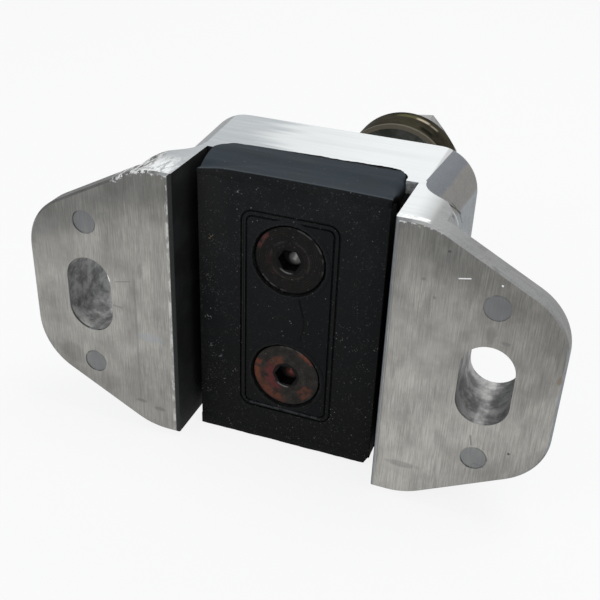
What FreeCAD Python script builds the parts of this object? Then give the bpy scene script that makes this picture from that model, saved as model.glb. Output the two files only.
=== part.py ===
import FreeCAD, Part
import os
import math
import re
import Sketcher

os.makedirs("parts", exist_ok=True)

# Engine mount: a cast aluminium channel with two slotted ears, a bonded rubber block in the
# channel, a plate held on the rubber's core by two countersunk screws, and a stud with a cup
# washer and a nut behind.
# Frame: X across the ears, Y from the mounting plane into the depth, Z up, millimetres.
# The origin is the centre of the two slots on the mounting plane.

doc = FreeCAD.newDocument("engine_mount")
sheet = doc.addObject("Spreadsheet::Sheet", "dims")

DIMS = [
    ("body_height", 85.0, "height of the housing between its machined ends"),
    ("cast_allowance", 0.8, "metal machined off each end"),
    ("body_depth", 53.0, "mounting plane to the rear face"),
    ("front_spread", 8.0, "cast block past the channel at the mounting plane, each side"),
    ("rear_spread", 12.0, "cast block past the channel at the rear face, each side"),
    ("body_corner_radius", 13.0, "rounding of the block's long edges"),
    ("rear_edge_radius", 4.5, "rounding round the rear face"),
    ("root_step", 2.1, "ears' root past the flat top of the ears, each side"),
    ("root_flank_depth", 12.5, "depth of the root's side flank"),
    ("root_back_depth", 15.8, "depth where the root's cove starts"),
    ("root_bevel", 2.2, "step in from the flank to the cove"),
    ("waist_wall", 1.7, "wall left beside the channel at the waist"),
    ("waist_depth", 25.0, "depth at the end of the cove"),
    ("channel_width", 61.0, "width of the rubber's channel"),
    ("channel_depth", 23.0, "depth of the channel"),
    ("pocket_step", 3.5, "deeper pocket in from the channel, each side"),
    ("pocket_depth", 28.5, "depth of the deeper pocket"),
    ("pocket_radius", 4.0, "rounding of the pocket's corners"),
    ("channel_bevel", 0.9, "bevel on the channel's front edges"),
    ("ear_reach", 36.9, "sloping part of an ear, from the flat top to the end"),
    ("ear_shoulder", 9.4, "flat top of an ear beside the channel"),
    ("ear_drop", 19.5, "fall of an ear's slope from the housing's end to the ear's end"),
    ("ear_corner_radius", 18.2, "rounding of the ears' corners"),
    ("ear_slope_radius", 20.0, "rounding where the flat top meets the slope"),
    ("ear_rim", 7.2, "thickness of the ear's rim"),
    ("ear_front_bevel", 0.6, "bevel on the ear's front outline"),
    ("gusset_shoulder", 3.0, "gusset past the ears' root at its shoulder, each side"),
    ("gusset_drop", 6.5, "gusset's shoulder below the housing's ends"),
    ("gusset_foot", 11.0, "gusset past the ears' root at its foot, each side"),
    ("gusset_foot_drop", 17.5, "gusset's foot below the housing's ends"),
    ("rear_round", 1.4, "rounding of the ears' rear edges"),
    ("boss_depth", 20.9, "depth of the slot's boss"),
    ("boss_wall", 6.2, "wall round the slot"),
    ("slot_margin", 18.85, "slot's centre line to the ear's end"),
    ("slot_width", 14.3, "width of a slot"),
    ("slot_length", 24.1, "length of a slot over its round ends"),
    ("mark_margin", 18.8, "ejector mark to the ear's end"),
    ("mark_pitch_z", 46.7, "ejector marks, top to bottom"),
    ("mark_diameter", 7.1, "diameter of an ejector mark"),
    ("mark_sink", 0.2, "depth of an ejector mark"),
    ("stud_opening", 34.0, "opening in the rear wall round the stud"),
    ("plate_side_gap", 3.3, "plate in from the channel, each side"),
    ("plate_end_gap", 1.9, "plate below the housing's machined ends"),
    ("plate_setback", 9.4, "mounting plane to the plate's front"),
    ("plate_thickness", 6.0, "front plate's thickness"),
    ("plate_corner", 0.6, "rounding of the plate's corners"),
    ("plate_edge", 0.3, "rounding of the plate's front edge"),
    ("panel_side", 12.8, "grooved panel in from the plate, each side"),
    ("panel_end", 8.2, "grooved panel in from the plate, each end"),
    ("panel_radius", 3.6, "grooved panel's corner radius"),
    ("groove_width", 0.6, "width of each of the panel's two grooves"),
    ("bead_width", 0.9, "width of the bead between the grooves"),
    ("groove_sink", 0.7, "depth of the grooves"),
    ("seat_gap", 0.3, "working gap between a piece and its seat"),
    ("bond_gap", 0.2, "glue line between the rubber and metal"),
    ("screw_pitch", 38.0, "centre to centre of the screws"),
    ("head_diameter", 20.0, "countersunk head's diameter"),
    ("head_rim", 0.6, "straight rim of the head"),
    ("head_sink", 0.6, "head below the plate's front"),
    ("screw_diameter", 10.0, "screw's shank"),
    ("screw_length", 15.5, "overall length of the screw"),
    ("hex_key", 6.0, "socket across flats"),
    ("hex_sink", 3.6, "socket's depth"),
    ("core_side", 9.2, "core in from the plate, each side"),
    ("core_end", 8.2, "core in from the plate, each end"),
    ("core_depth", 10.5, "core's depth"),
    ("core_radius", 3.0, "core's corner rounding"),
    ("rubber_end_gap", 0.2, "rubber below the housing's machined ends"),
    ("rubber_side_gap", 1.7, "rubber's widest flank in from the channel, each side"),
    ("rubber_flare_depth", 20.6, "depth of that width"),
    ("rubber_end_dip", 1.2, "hollow of the rubber's free ends"),
    ("rubber_crown", 1.1, "fall of the rubber's ends from the middle to the channel's walls"),
    ("stud_diameter", 20.0, "stud's diameter"),
    ("stud_collar", 24.0, "stud's collar in the core"),
    ("collar_depth", 4.0, "depth of the collar"),
    ("stud_tail", 4.0, "stud past the nut"),
    ("stud_chamfer", 2.0, "chamfer on the stud's end"),
    ("cup_front", 121.5, "mounting plane to the cup's lip"),
    ("cup_hole", 20.6, "cup washer's hole"),
    ("cup_height", 17.5, "height of the cup washer"),
    ("cup_diameter", 43.0, "cup washer's outer diameter"),
    ("cup_sheet", 1.6, "cup washer's sheet"),
    ("cup_radius", 2.6, "cup washer's outer bend"),
    ("nut_key", 30.0, "nut across flats"),
    ("nut_height", 16.0, "nut's height"),
    ("nut_chamfer", 1.6, "depth of the chamfer on the nut's corners"),
    ("nut_face", 28.4, "diameter of the nut's flat faces"),
    ("nut_turn", 10.0, "turn of the nut in degrees"),
]

for row, (alias, value, note) in enumerate(DIMS, start=1):
    sheet.set("A%d" % row, alias)
    sheet.set("B%d" % row, str(value))
    sheet.set("C%d" % row, note)
    sheet.setAlias("B%d" % row, alias)
doc.recompute()

VALUE = {}
for alias, value, note in DIMS:
    VALUE[alias] = float(getattr(sheet, alias))


# Sizes that follow from others, so that neighbouring pieces keep their fit.
TIED = {
    "body_front_width": "(channel_width + 2 * front_spread)",
    "body_rear_width": "(channel_width + 2 * rear_spread)",
    "pocket_width": "(channel_width - 2 * pocket_step)",
    "waist_width": "(channel_width + 2 * waist_wall)",
    "ear_top_width": "(channel_width + 2 * ear_shoulder)",
    "root_width": "(ear_top_width + 2 * root_step)",
    "ear_span": "(ear_top_width + 2 * ear_reach)",
    "ear_end_height": "(body_height - 2 * ear_drop)",
    "gusset_width": "(root_width + 2 * gusset_shoulder)",
    "gusset_height": "(body_height - 2 * gusset_drop)",
    "gusset_foot_width": "(root_width + 2 * gusset_foot)",
    "gusset_foot_height": "(body_height - 2 * gusset_foot_drop)",
    "slot_pitch": "(ear_span - 2 * slot_margin)",
    "mark_pitch_x": "(ear_span - 2 * mark_margin)",
    "plate_width": "(channel_width - 2 * plate_side_gap)",
    "plate_height": "(body_height - 2 * plate_end_gap)",
    "panel_width": "(plate_width - 2 * panel_side)",
    "panel_height": "(plate_height - 2 * panel_end)",
    "core_width": "(plate_width - 2 * core_side)",
    "core_height": "(plate_height - 2 * core_end)",
    "rubber_height": "(body_height - 2 * rubber_end_gap)",
    "rubber_flare_width": "(channel_width - 2 * rubber_side_gap)",
}

ALIAS_WORD = re.compile(r"(?<![\w.])(" + "|".join(VALUE) + r")(?!\w)")
TIED_WORD = re.compile(r"(?<![\w.])(" + "|".join(TIED) + r")(?!\w)")


def bind(obj, prop, expression):
    """Bind one property to an expression on the sheet's values and the tied sizes."""
    while TIED_WORD.search(expression):
        expression = TIED_WORD.sub(lambda word: TIED[word.group(1)], expression)
    obj.setExpression(prop, ALIAS_WORD.sub(r"dims.\1", expression))


# A point whose X works out expressions, for the first guess of a sketch's coordinates.
gauge = doc.addObject("Part::Vertex", "gauge")


def number(expression):
    """The value of an expression on the sheet's values."""
    bind(gauge, "X", expression)
    doc.recompute([gauge])
    return float(gauge.X)


def new_body(name, label):
    body = doc.addObject("PartDesign::Body", name)
    body.Label = label
    return body


def origin_plane(body, role):
    for feature in body.Origin.OriginFeatures:
        if feature.Role == role:
            return feature
    raise ValueError(role)


def new_sketch(body, name, role, offset="0"):
    """Sketch on one of the body's planes. On XZ_Plane the sketch's normal is -Y."""
    sketch = body.newObject("Sketcher::SketchObject", name)
    sketch.AttachmentSupport = [(origin_plane(body, role), "")]
    sketch.MapMode = "FlatFace"
    if offset != "0":
        sign = "-" if role == "XZ_Plane" else ""
        bind(sketch, "AttachmentOffset.Base.z", "%s(%s) * 1mm" % (sign, offset))
    return sketch


def fix_point(sketch, geometry, end, x, y):
    """Tie one point of a sketch to two expressions."""
    for kind, text in (("DistanceX", x), ("DistanceY", y)):
        index = sketch.addConstraint(Sketcher.Constraint(kind, -1, 1, geometry, end, number(text)))
        bind(sketch, "Constraints[%d]" % index, text)


def draw_polygon(sketch, points):
    """Closed polygon through (x, y) expressions."""
    spots = [FreeCAD.Vector(number(x), number(y), 0) for x, y in points]
    count = len(spots)
    first = None
    for i in range(count):
        line = sketch.addGeometry(Part.LineSegment(spots[i], spots[(i + 1) % count]), False)
        first = line if first is None else first
    for i in range(count):
        here = first + i
        after = first + (i + 1) % count
        sketch.addConstraint(Sketcher.Constraint("Coincident", here, 2, after, 1))
        fix_point(sketch, here, 1, points[i][0], points[i][1])
    return first


def draw_circle(sketch, x, y, radius):
    """Circle with its centre and radius tied to expressions."""
    circle = Part.Circle(FreeCAD.Vector(number(x), number(y), 0), FreeCAD.Vector(0, 0, 1), number(radius))
    index = sketch.addGeometry(circle, False)
    fix_point(sketch, index, 3, x, y)
    rule = sketch.addConstraint(Sketcher.Constraint("Radius", index, number(radius)))
    bind(sketch, "Constraints[%d]" % rule, radius)


def draw_rounded(sketch, half_x, half_y, radius):
    """Rounded rectangle about the sketch's origin."""
    a, b, r = number(half_x), number(half_y), number(radius)
    corners = [(a, b), (-a, b), (-a, -b), (a, -b)]
    arcs = []
    for turn, (x, y) in enumerate(corners):
        centre = FreeCAD.Vector(math.copysign(a - r, x), math.copysign(b - r, y), 0)
        circle = Part.Circle(centre, FreeCAD.Vector(0, 0, 1), r)
        arc = Part.ArcOfCircle(circle, turn * math.pi / 2, (turn + 1) * math.pi / 2)
        arcs.append(sketch.addGeometry(arc, False))
    names = [("%s - %s", "%s - %s"), ("-(%s - %s)", "%s - %s"),
             ("-(%s - %s)", "-(%s - %s)"), ("%s - %s", "-(%s - %s)")]
    for arc, (x, y) in zip(arcs, names):
        fix_point(sketch, arc, 3, x % (half_x, radius), y % (half_y, radius))
    for i in range(4):
        here, after = arcs[i], arcs[(i + 1) % 4]
        start = sketch.getPoint(here, 2)
        stop = sketch.getPoint(after, 1)
        line = sketch.addGeometry(Part.LineSegment(start, stop), False)
        sketch.addConstraint(Sketcher.Constraint("Tangent", here, 2, line, 1))
        sketch.addConstraint(Sketcher.Constraint("Tangent", line, 2, after, 1))
        if i < 3:
            sketch.addConstraint(Sketcher.Constraint("Horizontal" if i % 2 == 0 else "Vertical", line))
    rule = sketch.addConstraint(Sketcher.Constraint("Radius", arcs[0], r))
    bind(sketch, "Constraints[%d]" % rule, radius)


def draw_slot(sketch, x, y, half_width, half_run):
    """Slot standing along the sketch's second axis, with round ends."""
    cx, cy, r, run = number(x), number(y), number(half_width), number(half_run)
    up = Part.Circle(FreeCAD.Vector(cx, cy + run, 0), FreeCAD.Vector(0, 0, 1), r)
    down = Part.Circle(FreeCAD.Vector(cx, cy - run, 0), FreeCAD.Vector(0, 0, 1), r)
    top = sketch.addGeometry(Part.ArcOfCircle(up, 0, math.pi), False)
    bottom = sketch.addGeometry(Part.ArcOfCircle(down, math.pi, 2 * math.pi), False)
    left = sketch.addGeometry(Part.LineSegment(sketch.getPoint(top, 2), sketch.getPoint(bottom, 1)), False)
    right = sketch.addGeometry(Part.LineSegment(sketch.getPoint(bottom, 2), sketch.getPoint(top, 1)), False)
    fix_point(sketch, top, 3, x, "%s + %s" % (y, half_run))
    fix_point(sketch, bottom, 3, x, "%s - (%s)" % (y, half_run))
    for first, end, second, start in ((top, 2, left, 1), (left, 2, bottom, 1), (bottom, 2, right, 1),
                                      (right, 2, top, 1)):
        sketch.addConstraint(Sketcher.Constraint("Tangent", first, end, second, start))
    sketch.addConstraint(Sketcher.Constraint("Equal", top, bottom))
    rule = sketch.addConstraint(Sketcher.Constraint("Radius", top, r))
    bind(sketch, "Constraints[%d]" % rule, half_width)


def draw_beyond_arc(sketch, half_width, sign, crest, fall):
    """Region between a wide arc and a line a little past it. The arc falls from its crest to both sides."""
    half, top, drop = number(half_width), number(crest), number(fall)
    radius = (half ** 2 + drop ** 2) / (2 * drop)
    up = -1 if sign else 1
    centre = FreeCAD.Vector(0, up * (top - radius), 0)
    tilt = math.asin(half / radius)
    middle = up * math.pi / 2
    circle = Part.Circle(centre, FreeCAD.Vector(0, 0, 1), radius)
    arc = sketch.addGeometry(Part.ArcOfCircle(circle, middle - tilt, middle + tilt), False)
    first, last = sketch.getPoint(arc, 1), sketch.getPoint(arc, 2)
    past = up * (top + drop)
    spots = [last, FreeCAD.Vector(last.x, past, 0), FreeCAD.Vector(first.x, past, 0), first]
    lines = [sketch.addGeometry(Part.LineSegment(a, b), False) for a, b in zip(spots, spots[1:])]
    chain = [(arc, 2, lines[0], 1), (lines[0], 2, lines[1], 1), (lines[1], 2, lines[2], 1), (lines[2], 2, arc, 1)]
    for link in chain:
        sketch.addConstraint(Sketcher.Constraint("Coincident", *link))
    low = sign + "(%s - %s)" % (crest, fall)
    high = sign + "(%s + %s)" % (crest, fall)
    right, left = half_width, "-(%s)" % half_width
    last_x, first_x = (left, right) if up > 0 else (right, left)
    fix_point(sketch, lines[0], 1, last_x, low)
    fix_point(sketch, lines[1], 1, last_x, high)
    fix_point(sketch, lines[1], 2, first_x, high)
    fix_point(sketch, lines[2], 2, first_x, low)
    rule = sketch.addConstraint(Sketcher.Constraint("DistanceY", -1, 1, arc, 3, centre.y))
    span = "((%s) ^ 2 + %s ^ 2) / (2 * %s)" % (half_width, fall, fall)
    bind(sketch, "Constraints[%d]" % rule, sign + "(%s - %s)" % (crest, span))


def grow(body, kind, name, sketch, length, backwards, whole=False, symmetric=False):
    """Pad or pocket a sketch, and stop if it didn't change the body's volume the right way."""
    before = body.Shape.Volume if body.Shape and not body.Shape.isNull() else 0.0
    feature = body.newObject("PartDesign::" + kind, name)
    feature.Profile = sketch
    feature.Reversed = backwards
    if symmetric:
        feature.Midplane = True
    if whole:
        feature.Type = 1
    else:
        bind(feature, "Length", length)
    sketch.Visibility = False
    doc.recompute()
    change = body.Shape.Volume - before
    if (kind == "Pad") != (change > 0):
        raise ValueError("%s changed the volume by %.3f" % (name, change))
    return feature


def edges_where(shape, test):
    """Names of the edges whose whole length passes a test on points."""
    names = []
    for i, edge in enumerate(shape.Edges, start=1):
        first, last = edge.ParameterRange
        spots = [edge.valueAt(first + (last - first) * part) for part in (0.02, 0.35, 0.65, 0.98)]
        if all(test(spot) for spot in spots):
            names.append("Edge%d" % i)
    return names


def dress(body, kind, name, prop, size, test):
    """Fillet or chamfer the edges that pass a test."""
    base = body.Tip
    names = edges_where(base.Shape, test)
    if not names:
        raise ValueError(name + " finds no edge")
    feature = body.newObject("PartDesign::" + kind, name)
    feature.Base = (base, names)
    bind(feature, prop, size)
    doc.recompute()
    if feature.Shape.isNull() or not feature.Shape.isValid():
        raise ValueError(name + " fails")
    return feature


def near(a, b, slack=0.02):
    return abs(a - b) < slack


# Housing: the ears and their root
# One slab with sloping shoulders and large end roundings. Behind the ears' rims it is cut back
# to the root, whose flank ends in a cove down to the waist of the block.
housing = new_body("housing", "housing")
ears = new_sketch(housing, "ear_outline", "XZ_Plane")
corner = [("ear_top_width / 2", "body_height / 2"), ("ear_span / 2", "ear_end_height / 2")]
draw_polygon(ears, corner + [(x, "-(%s)" % y) for x, y in reversed(corner)]
             + [("-(%s)" % x, "-(%s)" % y) for x, y in corner] + [("-(%s)" % x, y) for x, y in reversed(corner)])
grow(housing, "Pad", "ear_pad", ears, "waist_depth", True)
ear_x = number("ear_span / 2")
dress(housing, "Fillet", "ear_corners", "Radius", "ear_corner_radius",
      lambda p: near(abs(p.x), ear_x) and near(abs(p.z), number("ear_end_height / 2")))
dress(housing, "Fillet", "ear_shoulders", "Radius", "ear_slope_radius",
      lambda p: near(abs(p.x), number("ear_top_width / 2")) and near(abs(p.z), number("body_height / 2")))
flank = "root_width / 2"
step = "(root_width / 2 - root_bevel)"
waist = "waist_width / 2"
waist_x, waist_y = number(waist), number("waist_depth")
cove_dx = number(step) - waist_x
cove_dy = waist_y - number("root_back_depth")
cove_r = (cove_dx ** 2 + cove_dy ** 2) / (2 * cove_dx)
for name, side in (("right", 1), ("left", -1)):
    sign = "" if side > 0 else "-"
    plan = [("ear_span", "ear_rim"), (flank, "ear_rim"), (flank, "root_flank_depth"), (step, "root_back_depth"),
            (waist, "waist_depth"), (waist, "2 * waist_depth"), ("ear_span", "2 * waist_depth")]
    plan = [("%s(%s)" % (sign, x), y) for x, y in plan]
    cut = new_sketch(housing, "root_plan_" + name, "XY_Plane")
    spots = [FreeCAD.Vector(number(x), number(y), 0) for x, y in plan]
    count = len(plan)
    pieces = []
    ends = []
    for i in range(count):
        if i == 3:
            centre = FreeCAD.Vector(side * (waist_x + cove_r), waist_y, 0)
            circle = Part.Circle(centre, FreeCAD.Vector(0, 0, 1), cove_r)
            slope = math.atan2(spots[i].y - centre.y, spots[i].x - centre.x) % (2 * math.pi)
            sweep = (math.pi, slope) if side > 0 else (slope, 2 * math.pi)
            pieces.append(cut.addGeometry(Part.ArcOfCircle(circle, sweep[0], sweep[1]), False))
            ends.append((2, 1) if side > 0 else (1, 2))
        else:
            pieces.append(cut.addGeometry(Part.LineSegment(spots[i], spots[(i + 1) % count]), False))
            ends.append((1, 2))
    for i in range(count):
        after = (i + 1) % count
        cut.addConstraint(Sketcher.Constraint("Coincident", pieces[i], ends[i][1], pieces[after], ends[after][0]))
        fix_point(cut, pieces[i], ends[i][0], plan[i][0], plan[i][1])
    rule = cut.addConstraint(Sketcher.Constraint("DistanceY", -1, 1, pieces[3], 3, waist_y))
    bind(cut, "Constraints[%d]" % rule, "waist_depth")
    grow(housing, "Pocket", "root_cut_" + name, cut, "2 * body_height", False, symmetric=True)
rim_y = number("ear_rim")
dress(housing, "Fillet", "rim_round", "Radius", "rear_round",
      lambda p: near(p.y, rim_y) and abs(p.x) > number(flank) + 1)

# Housing: the cast block
# A rounded block that widens to the rear, drawn at the mounting plane and at the rear face.
cast_half = "(body_height / 2 + cast_allowance)"
block_front = new_sketch(housing, "block_front", "XZ_Plane")
draw_rounded(block_front, "body_front_width / 2", cast_half, "body_corner_radius")
block_rear = new_sketch(housing, "block_rear", "XZ_Plane", "body_depth + cast_allowance")
draw_rounded(block_rear, "body_rear_width / 2", cast_half, "body_corner_radius")
block = housing.newObject("PartDesign::AdditiveLoft", "block")
block.Profile = block_rear
block.Sections = [block_front]
block.Ruled = True
doc.recompute()
rear_y = number("body_depth + cast_allowance")
dress(housing, "Fillet", "block_rear_round", "Radius", "rear_edge_radius", lambda p: near(p.y, rear_y))

# Housing: gussets between the root and the bosses, behind the rim
gussets = new_sketch(housing, "gusset_outline", "XZ_Plane")
corner = [("root_width / 2", "(body_height / 2 - root_step)"), ("gusset_width / 2", "gusset_height / 2"),
          ("gusset_foot_width / 2", "gusset_foot_height / 2")]
draw_polygon(gussets, corner + [(x, "-(%s)" % y) for x, y in reversed(corner)]
             + [("-(%s)" % x, "-(%s)" % y) for x, y in corner] + [("-(%s)" % x, y) for x, y in reversed(corner)])
grow(housing, "Pad", "gusset_pad", gussets, "root_flank_depth", True)

# Housing: the bosses round the slots, joined to the block by a web
boss = new_sketch(housing, "boss_outline", "XZ_Plane")
for side in ("", "-"):
    draw_slot(boss, side + "slot_pitch / 2", "0", "(slot_width / 2 + boss_wall)", "(slot_length - slot_width) / 2")
grow(housing, "Pad", "boss_pad", boss, "boss_depth", True)
web = new_sketch(housing, "web_outline", "XZ_Plane")
reach = ("slot_pitch / 2", "(slot_length / 2 + boss_wall)")
draw_polygon(web, [reach, ("-" + reach[0], reach[1]), ("-" + reach[0], "-" + reach[1]), (reach[0], "-" + reach[1])])
grow(housing, "Pad", "web_pad", web, "boss_depth", True)

boss_y = number("boss_depth")
dress(housing, "Fillet", "boss_round", "Radius", "rear_round",
      lambda p: near(p.y, boss_y) and abs(p.x) > number("waist_width / 2"))
foot_y = number("root_flank_depth")
dress(housing, "Fillet", "gusset_round", "Radius", "rear_round",
      lambda p: near(p.y, foot_y) and abs(p.x) > number("root_width / 2 + 0.5") and abs(p.z) < 36.5)

# Housing: both ends machined flat
for name, height, up in (("top", "body_height / 2", True), ("bottom", "-(body_height / 2)", False)):
    end_cut = new_sketch(housing, name + "_face", "XY_Plane", height)
    draw_polygon(end_cut, [("ear_span", "-body_depth"), ("ear_span", "2 * body_depth"),
                           ("-ear_span", "2 * body_depth"), ("-ear_span", "-body_depth")])
    grow(housing, "Pocket", name + "_cut", end_cut, "", up, whole=True)

# Housing: the channel for the rubber and its deeper pocket
channel = new_sketch(housing, "channel_plan", "XY_Plane")
side = [("channel_width / 2", "-boss_depth"), ("channel_width / 2", "channel_depth"),
        ("pocket_width / 2", "channel_depth"), ("pocket_width / 2", "pocket_depth")]
draw_polygon(channel, side + [("-(%s)" % x, y) for x, y in reversed(side)])
cut = grow(housing, "Pocket", "channel_cut", channel, "2 * body_height", False, symmetric=True)
pocket_x, pocket_y = number("pocket_width / 2"), number("pocket_depth")
dress(housing, "Fillet", "pocket_corners", "Radius", "pocket_radius",
      lambda p: near(abs(p.x), pocket_x) and near(p.y, pocket_y))

# Housing: slots, ejector marks and the stud's opening
slots = new_sketch(housing, "slot_outline", "XZ_Plane")
for side in ("", "-"):
    draw_slot(slots, side + "slot_pitch / 2", "0", "(slot_width / 2)", "(slot_length - slot_width) / 2")
grow(housing, "Pocket", "slot_cut", slots, "", False, whole=True)
marks = new_sketch(housing, "mark_outline", "XZ_Plane")
for side in ("", "-"):
    for end in ("", "-"):
        draw_circle(marks, side + "mark_pitch_x / 2", end + "mark_pitch_z / 2", "mark_diameter / 2")
grow(housing, "Pocket", "mark_cut", marks, "mark_sink", False)
opening = new_sketch(housing, "stud_opening_outline", "XZ_Plane")
draw_circle(opening, "0", "0", "stud_opening / 2")
grow(housing, "Pocket", "stud_opening_cut", opening, "", False, whole=True)

# Housing: worn bevels on the mounting plane
channel_x = number("channel_width / 2")
dress(housing, "Chamfer", "channel_bevels", "Size", "channel_bevel",
      lambda p: near(abs(p.x), channel_x) and near(p.y, 0))
slot_x = number("slot_pitch / 2")
dress(housing, "Chamfer", "outline_bevels", "Size", "ear_front_bevel",
      lambda p: near(p.y, 0) and abs(p.x) > channel_x + 1.5 and (
          math.hypot(abs(p.x) - slot_x, max(abs(p.z) - 5, 0)) > number("slot_width / 2") + 1.5)
      and math.hypot(abs(p.x) - number("mark_pitch_x / 2"), abs(p.z) - number("mark_pitch_z / 2")) > 4.5)


def turned(label, profile, axis_z="0"):
    """Body of revolution about a line along Y, from (depth, radius) expressions."""
    body = new_body(label, label)
    sketch = new_sketch(body, label + "_profile", "YZ_Plane")
    draw_polygon(sketch, [(y, "%s + %s" % (axis_z, r)) for y, r in profile])
    add_axis(sketch, axis_z)
    spin = body.newObject("PartDesign::Revolution", label + "_turning")
    spin.Profile = sketch
    spin.ReferenceAxis = (sketch, ["Axis0"])
    spin.Angle = 360
    doc.recompute()
    return body


def add_axis(sketch, axis_z):
    """Construction line along the sketch's first axis at a height."""
    z = number(axis_z)
    line = sketch.addGeometry(Part.LineSegment(FreeCAD.Vector(-10, z, 0), FreeCAD.Vector(10, z, 0)), True)
    for end, x in ((1, "-10"), (2, "10")):
        fix_point(sketch, line, end, x, axis_z)


def bore(body, name, profile, axis_z="0"):
    """Turned cut about a line along Y, from (depth, radius) expressions."""
    before = body.Shape.Volume
    sketch = new_sketch(body, name + "_profile", "YZ_Plane")
    draw_polygon(sketch, [(y, "%s + %s" % (axis_z, r)) for y, r in profile])
    add_axis(sketch, axis_z)
    cut = body.newObject("PartDesign::Groove", name)
    cut.Profile = sketch
    cut.ReferenceAxis = (sketch, ["Axis0"])
    cut.Angle = 360
    doc.recompute()
    if not body.Shape.Volume < before:
        raise ValueError(name + " cuts nothing")


PLATE_BACK = "(plate_setback + plate_thickness)"
CORE_BACK = "(plate_setback + plate_thickness + core_depth)"
HEAD_TOP = "(plate_setback + head_sink)"
SINK_RIM = "(head_diameter / 2 + head_sink + head_rim + sqrt(2) * seat_gap)"
SHANK_HOLE = "(screw_diameter / 2 + seat_gap)"
SCREW_HOLE = [("plate_setback", "0"), ("plate_setback", SINK_RIM),
              ("plate_setback + %s - %s" % (SINK_RIM, SHANK_HOLE), SHANK_HOLE),
              (HEAD_TOP + " + screw_length + seat_gap", SHANK_HOLE), (HEAD_TOP + " + screw_length + seat_gap", "0")]
SCREWS = (("upper", "(screw_pitch / 2)"), ("lower", "(-screw_pitch / 2)"))

# Rubber block: flares from the plate to the channel's floor and fills the deeper pocket
rubber = new_body("rubber_block", "rubber_block")
plan = new_sketch(rubber, "rubber_plan", "XY_Plane")
side = [("plate_width / 2", PLATE_BACK + " + bond_gap"), ("rubber_flare_width / 2", "rubber_flare_depth"),
        ("rubber_flare_width / 2", "channel_depth - bond_gap"), ("pocket_width / 2 - bond_gap", "channel_depth - bond_gap"),
        ("pocket_width / 2 - bond_gap", "pocket_depth - bond_gap")]
draw_polygon(plan, side + [("-(%s)" % x, y) for x, y in reversed(side)])
grow(rubber, "Pad", "rubber_pad", plan, "rubber_height", False, symmetric=True)
# It laps over the front plate's top and bottom edges.
laps = new_sketch(rubber, "lap_outline", "XZ_Plane", "plate_setback")
for sign in ("", "-"):
    inner, outer = sign + "(plate_height / 2 + bond_gap)", sign + "(rubber_height / 2)"
    draw_polygon(laps, [("plate_width / 2", inner), ("plate_width / 2", outer),
                        ("-plate_width / 2", outer), ("-plate_width / 2", inner)])
grow(rubber, "Pad", "lap_pad", laps, "plate_thickness + bond_gap", True)
fill_x, fill_y = number("pocket_width / 2 - bond_gap"), number("pocket_depth - bond_gap")
dress(rubber, "Fillet", "rubber_corners", "Radius", "pocket_radius",
      lambda p: near(abs(p.x), fill_x) and near(p.y, fill_y))
flare_x, flare_y = number("rubber_flare_width / 2"), number("rubber_flare_depth")
dress(rubber, "Fillet", "rubber_flanks", "Radius", "pocket_radius",
      lambda p: near(abs(p.x), flare_x) and near(p.y, flare_y))
# Both ends are crowned along X, by taking off what lies beyond a wide arc.
for name, sign in (("top", ""), ("bottom", "-")):
    crown = new_sketch(rubber, "crown_" + name, "XZ_Plane")
    draw_beyond_arc(crown, "channel_width / 2", sign, "rubber_height / 2", "rubber_crown")
    grow(rubber, "Pocket", "crown_cut_" + name, crown, "", False, whole=True)
front_y, lap_x, lap_z = number("plate_setback"), number("plate_width / 2"), number("plate_height / 2 + bond_gap")
dress(rubber, "Fillet", "lap_front_round", "Radius", "plate_edge",
      lambda p: near(p.y, front_y) and abs(p.z) > lap_z + 0.05 and abs(p.x) < lap_x - 0.01)
# The free ends are hollow: a shallow round trough along X at the top and at the bottom.
dip_half = "((pocket_depth - plate_setback - plate_thickness) / 2)"
dip_radius = "((%s ^ 2 + rubber_end_dip ^ 2) / (2 * rubber_end_dip))" % dip_half
for name, sign in (("top", ""), ("bottom", "-")):
    dip = new_sketch(rubber, "dip_" + name, "YZ_Plane")
    draw_circle(dip, PLATE_BACK + " + " + dip_half,
                sign + "(rubber_height / 2 - rubber_end_dip + %s)" % dip_radius, dip_radius)
    grow(rubber, "Pocket", "dip_cut_" + name, dip, "2 * channel_width", False, symmetric=True)
nest = new_sketch(rubber, "core_nest", "XZ_Plane", PLATE_BACK)
draw_rounded(nest, "(core_width / 2 + bond_gap)", "(core_height / 2 + bond_gap)", "(core_radius + bond_gap)")
grow(rubber, "Pocket", "core_nest_cut", nest, "core_depth + bond_gap", False)
passage = new_sketch(rubber, "stud_passage", "XZ_Plane")
draw_circle(passage, "0", "0", "stud_diameter / 2 + bond_gap")
grow(rubber, "Pocket", "stud_passage_cut", passage, "", False, whole=True)

# Core: steel block in the rubber, tapped for the screws and counterbored for the stud's collar
core = new_body("core_block", "core_block")
core_outline = new_sketch(core, "core_outline", "XZ_Plane", PLATE_BACK)
draw_rounded(core_outline, "core_width / 2", "core_height / 2", "core_radius")
grow(core, "Pad", "core_pad", core_outline, "core_depth", True)
bore(core, "core_stud_bore", [
    (PLATE_BACK, "0"), (PLATE_BACK, "(stud_collar / 2 + seat_gap)"),
    (PLATE_BACK + " + collar_depth + seat_gap", "(stud_collar / 2 + seat_gap)"),
    (PLATE_BACK + " + collar_depth + seat_gap", "(stud_diameter / 2 + seat_gap)"),
    (CORE_BACK, "(stud_diameter / 2 + seat_gap)"), (CORE_BACK, "0")])
for name, z in SCREWS:
    bore(core, "core_thread_" + name, SCREW_HOLE, z)

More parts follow.
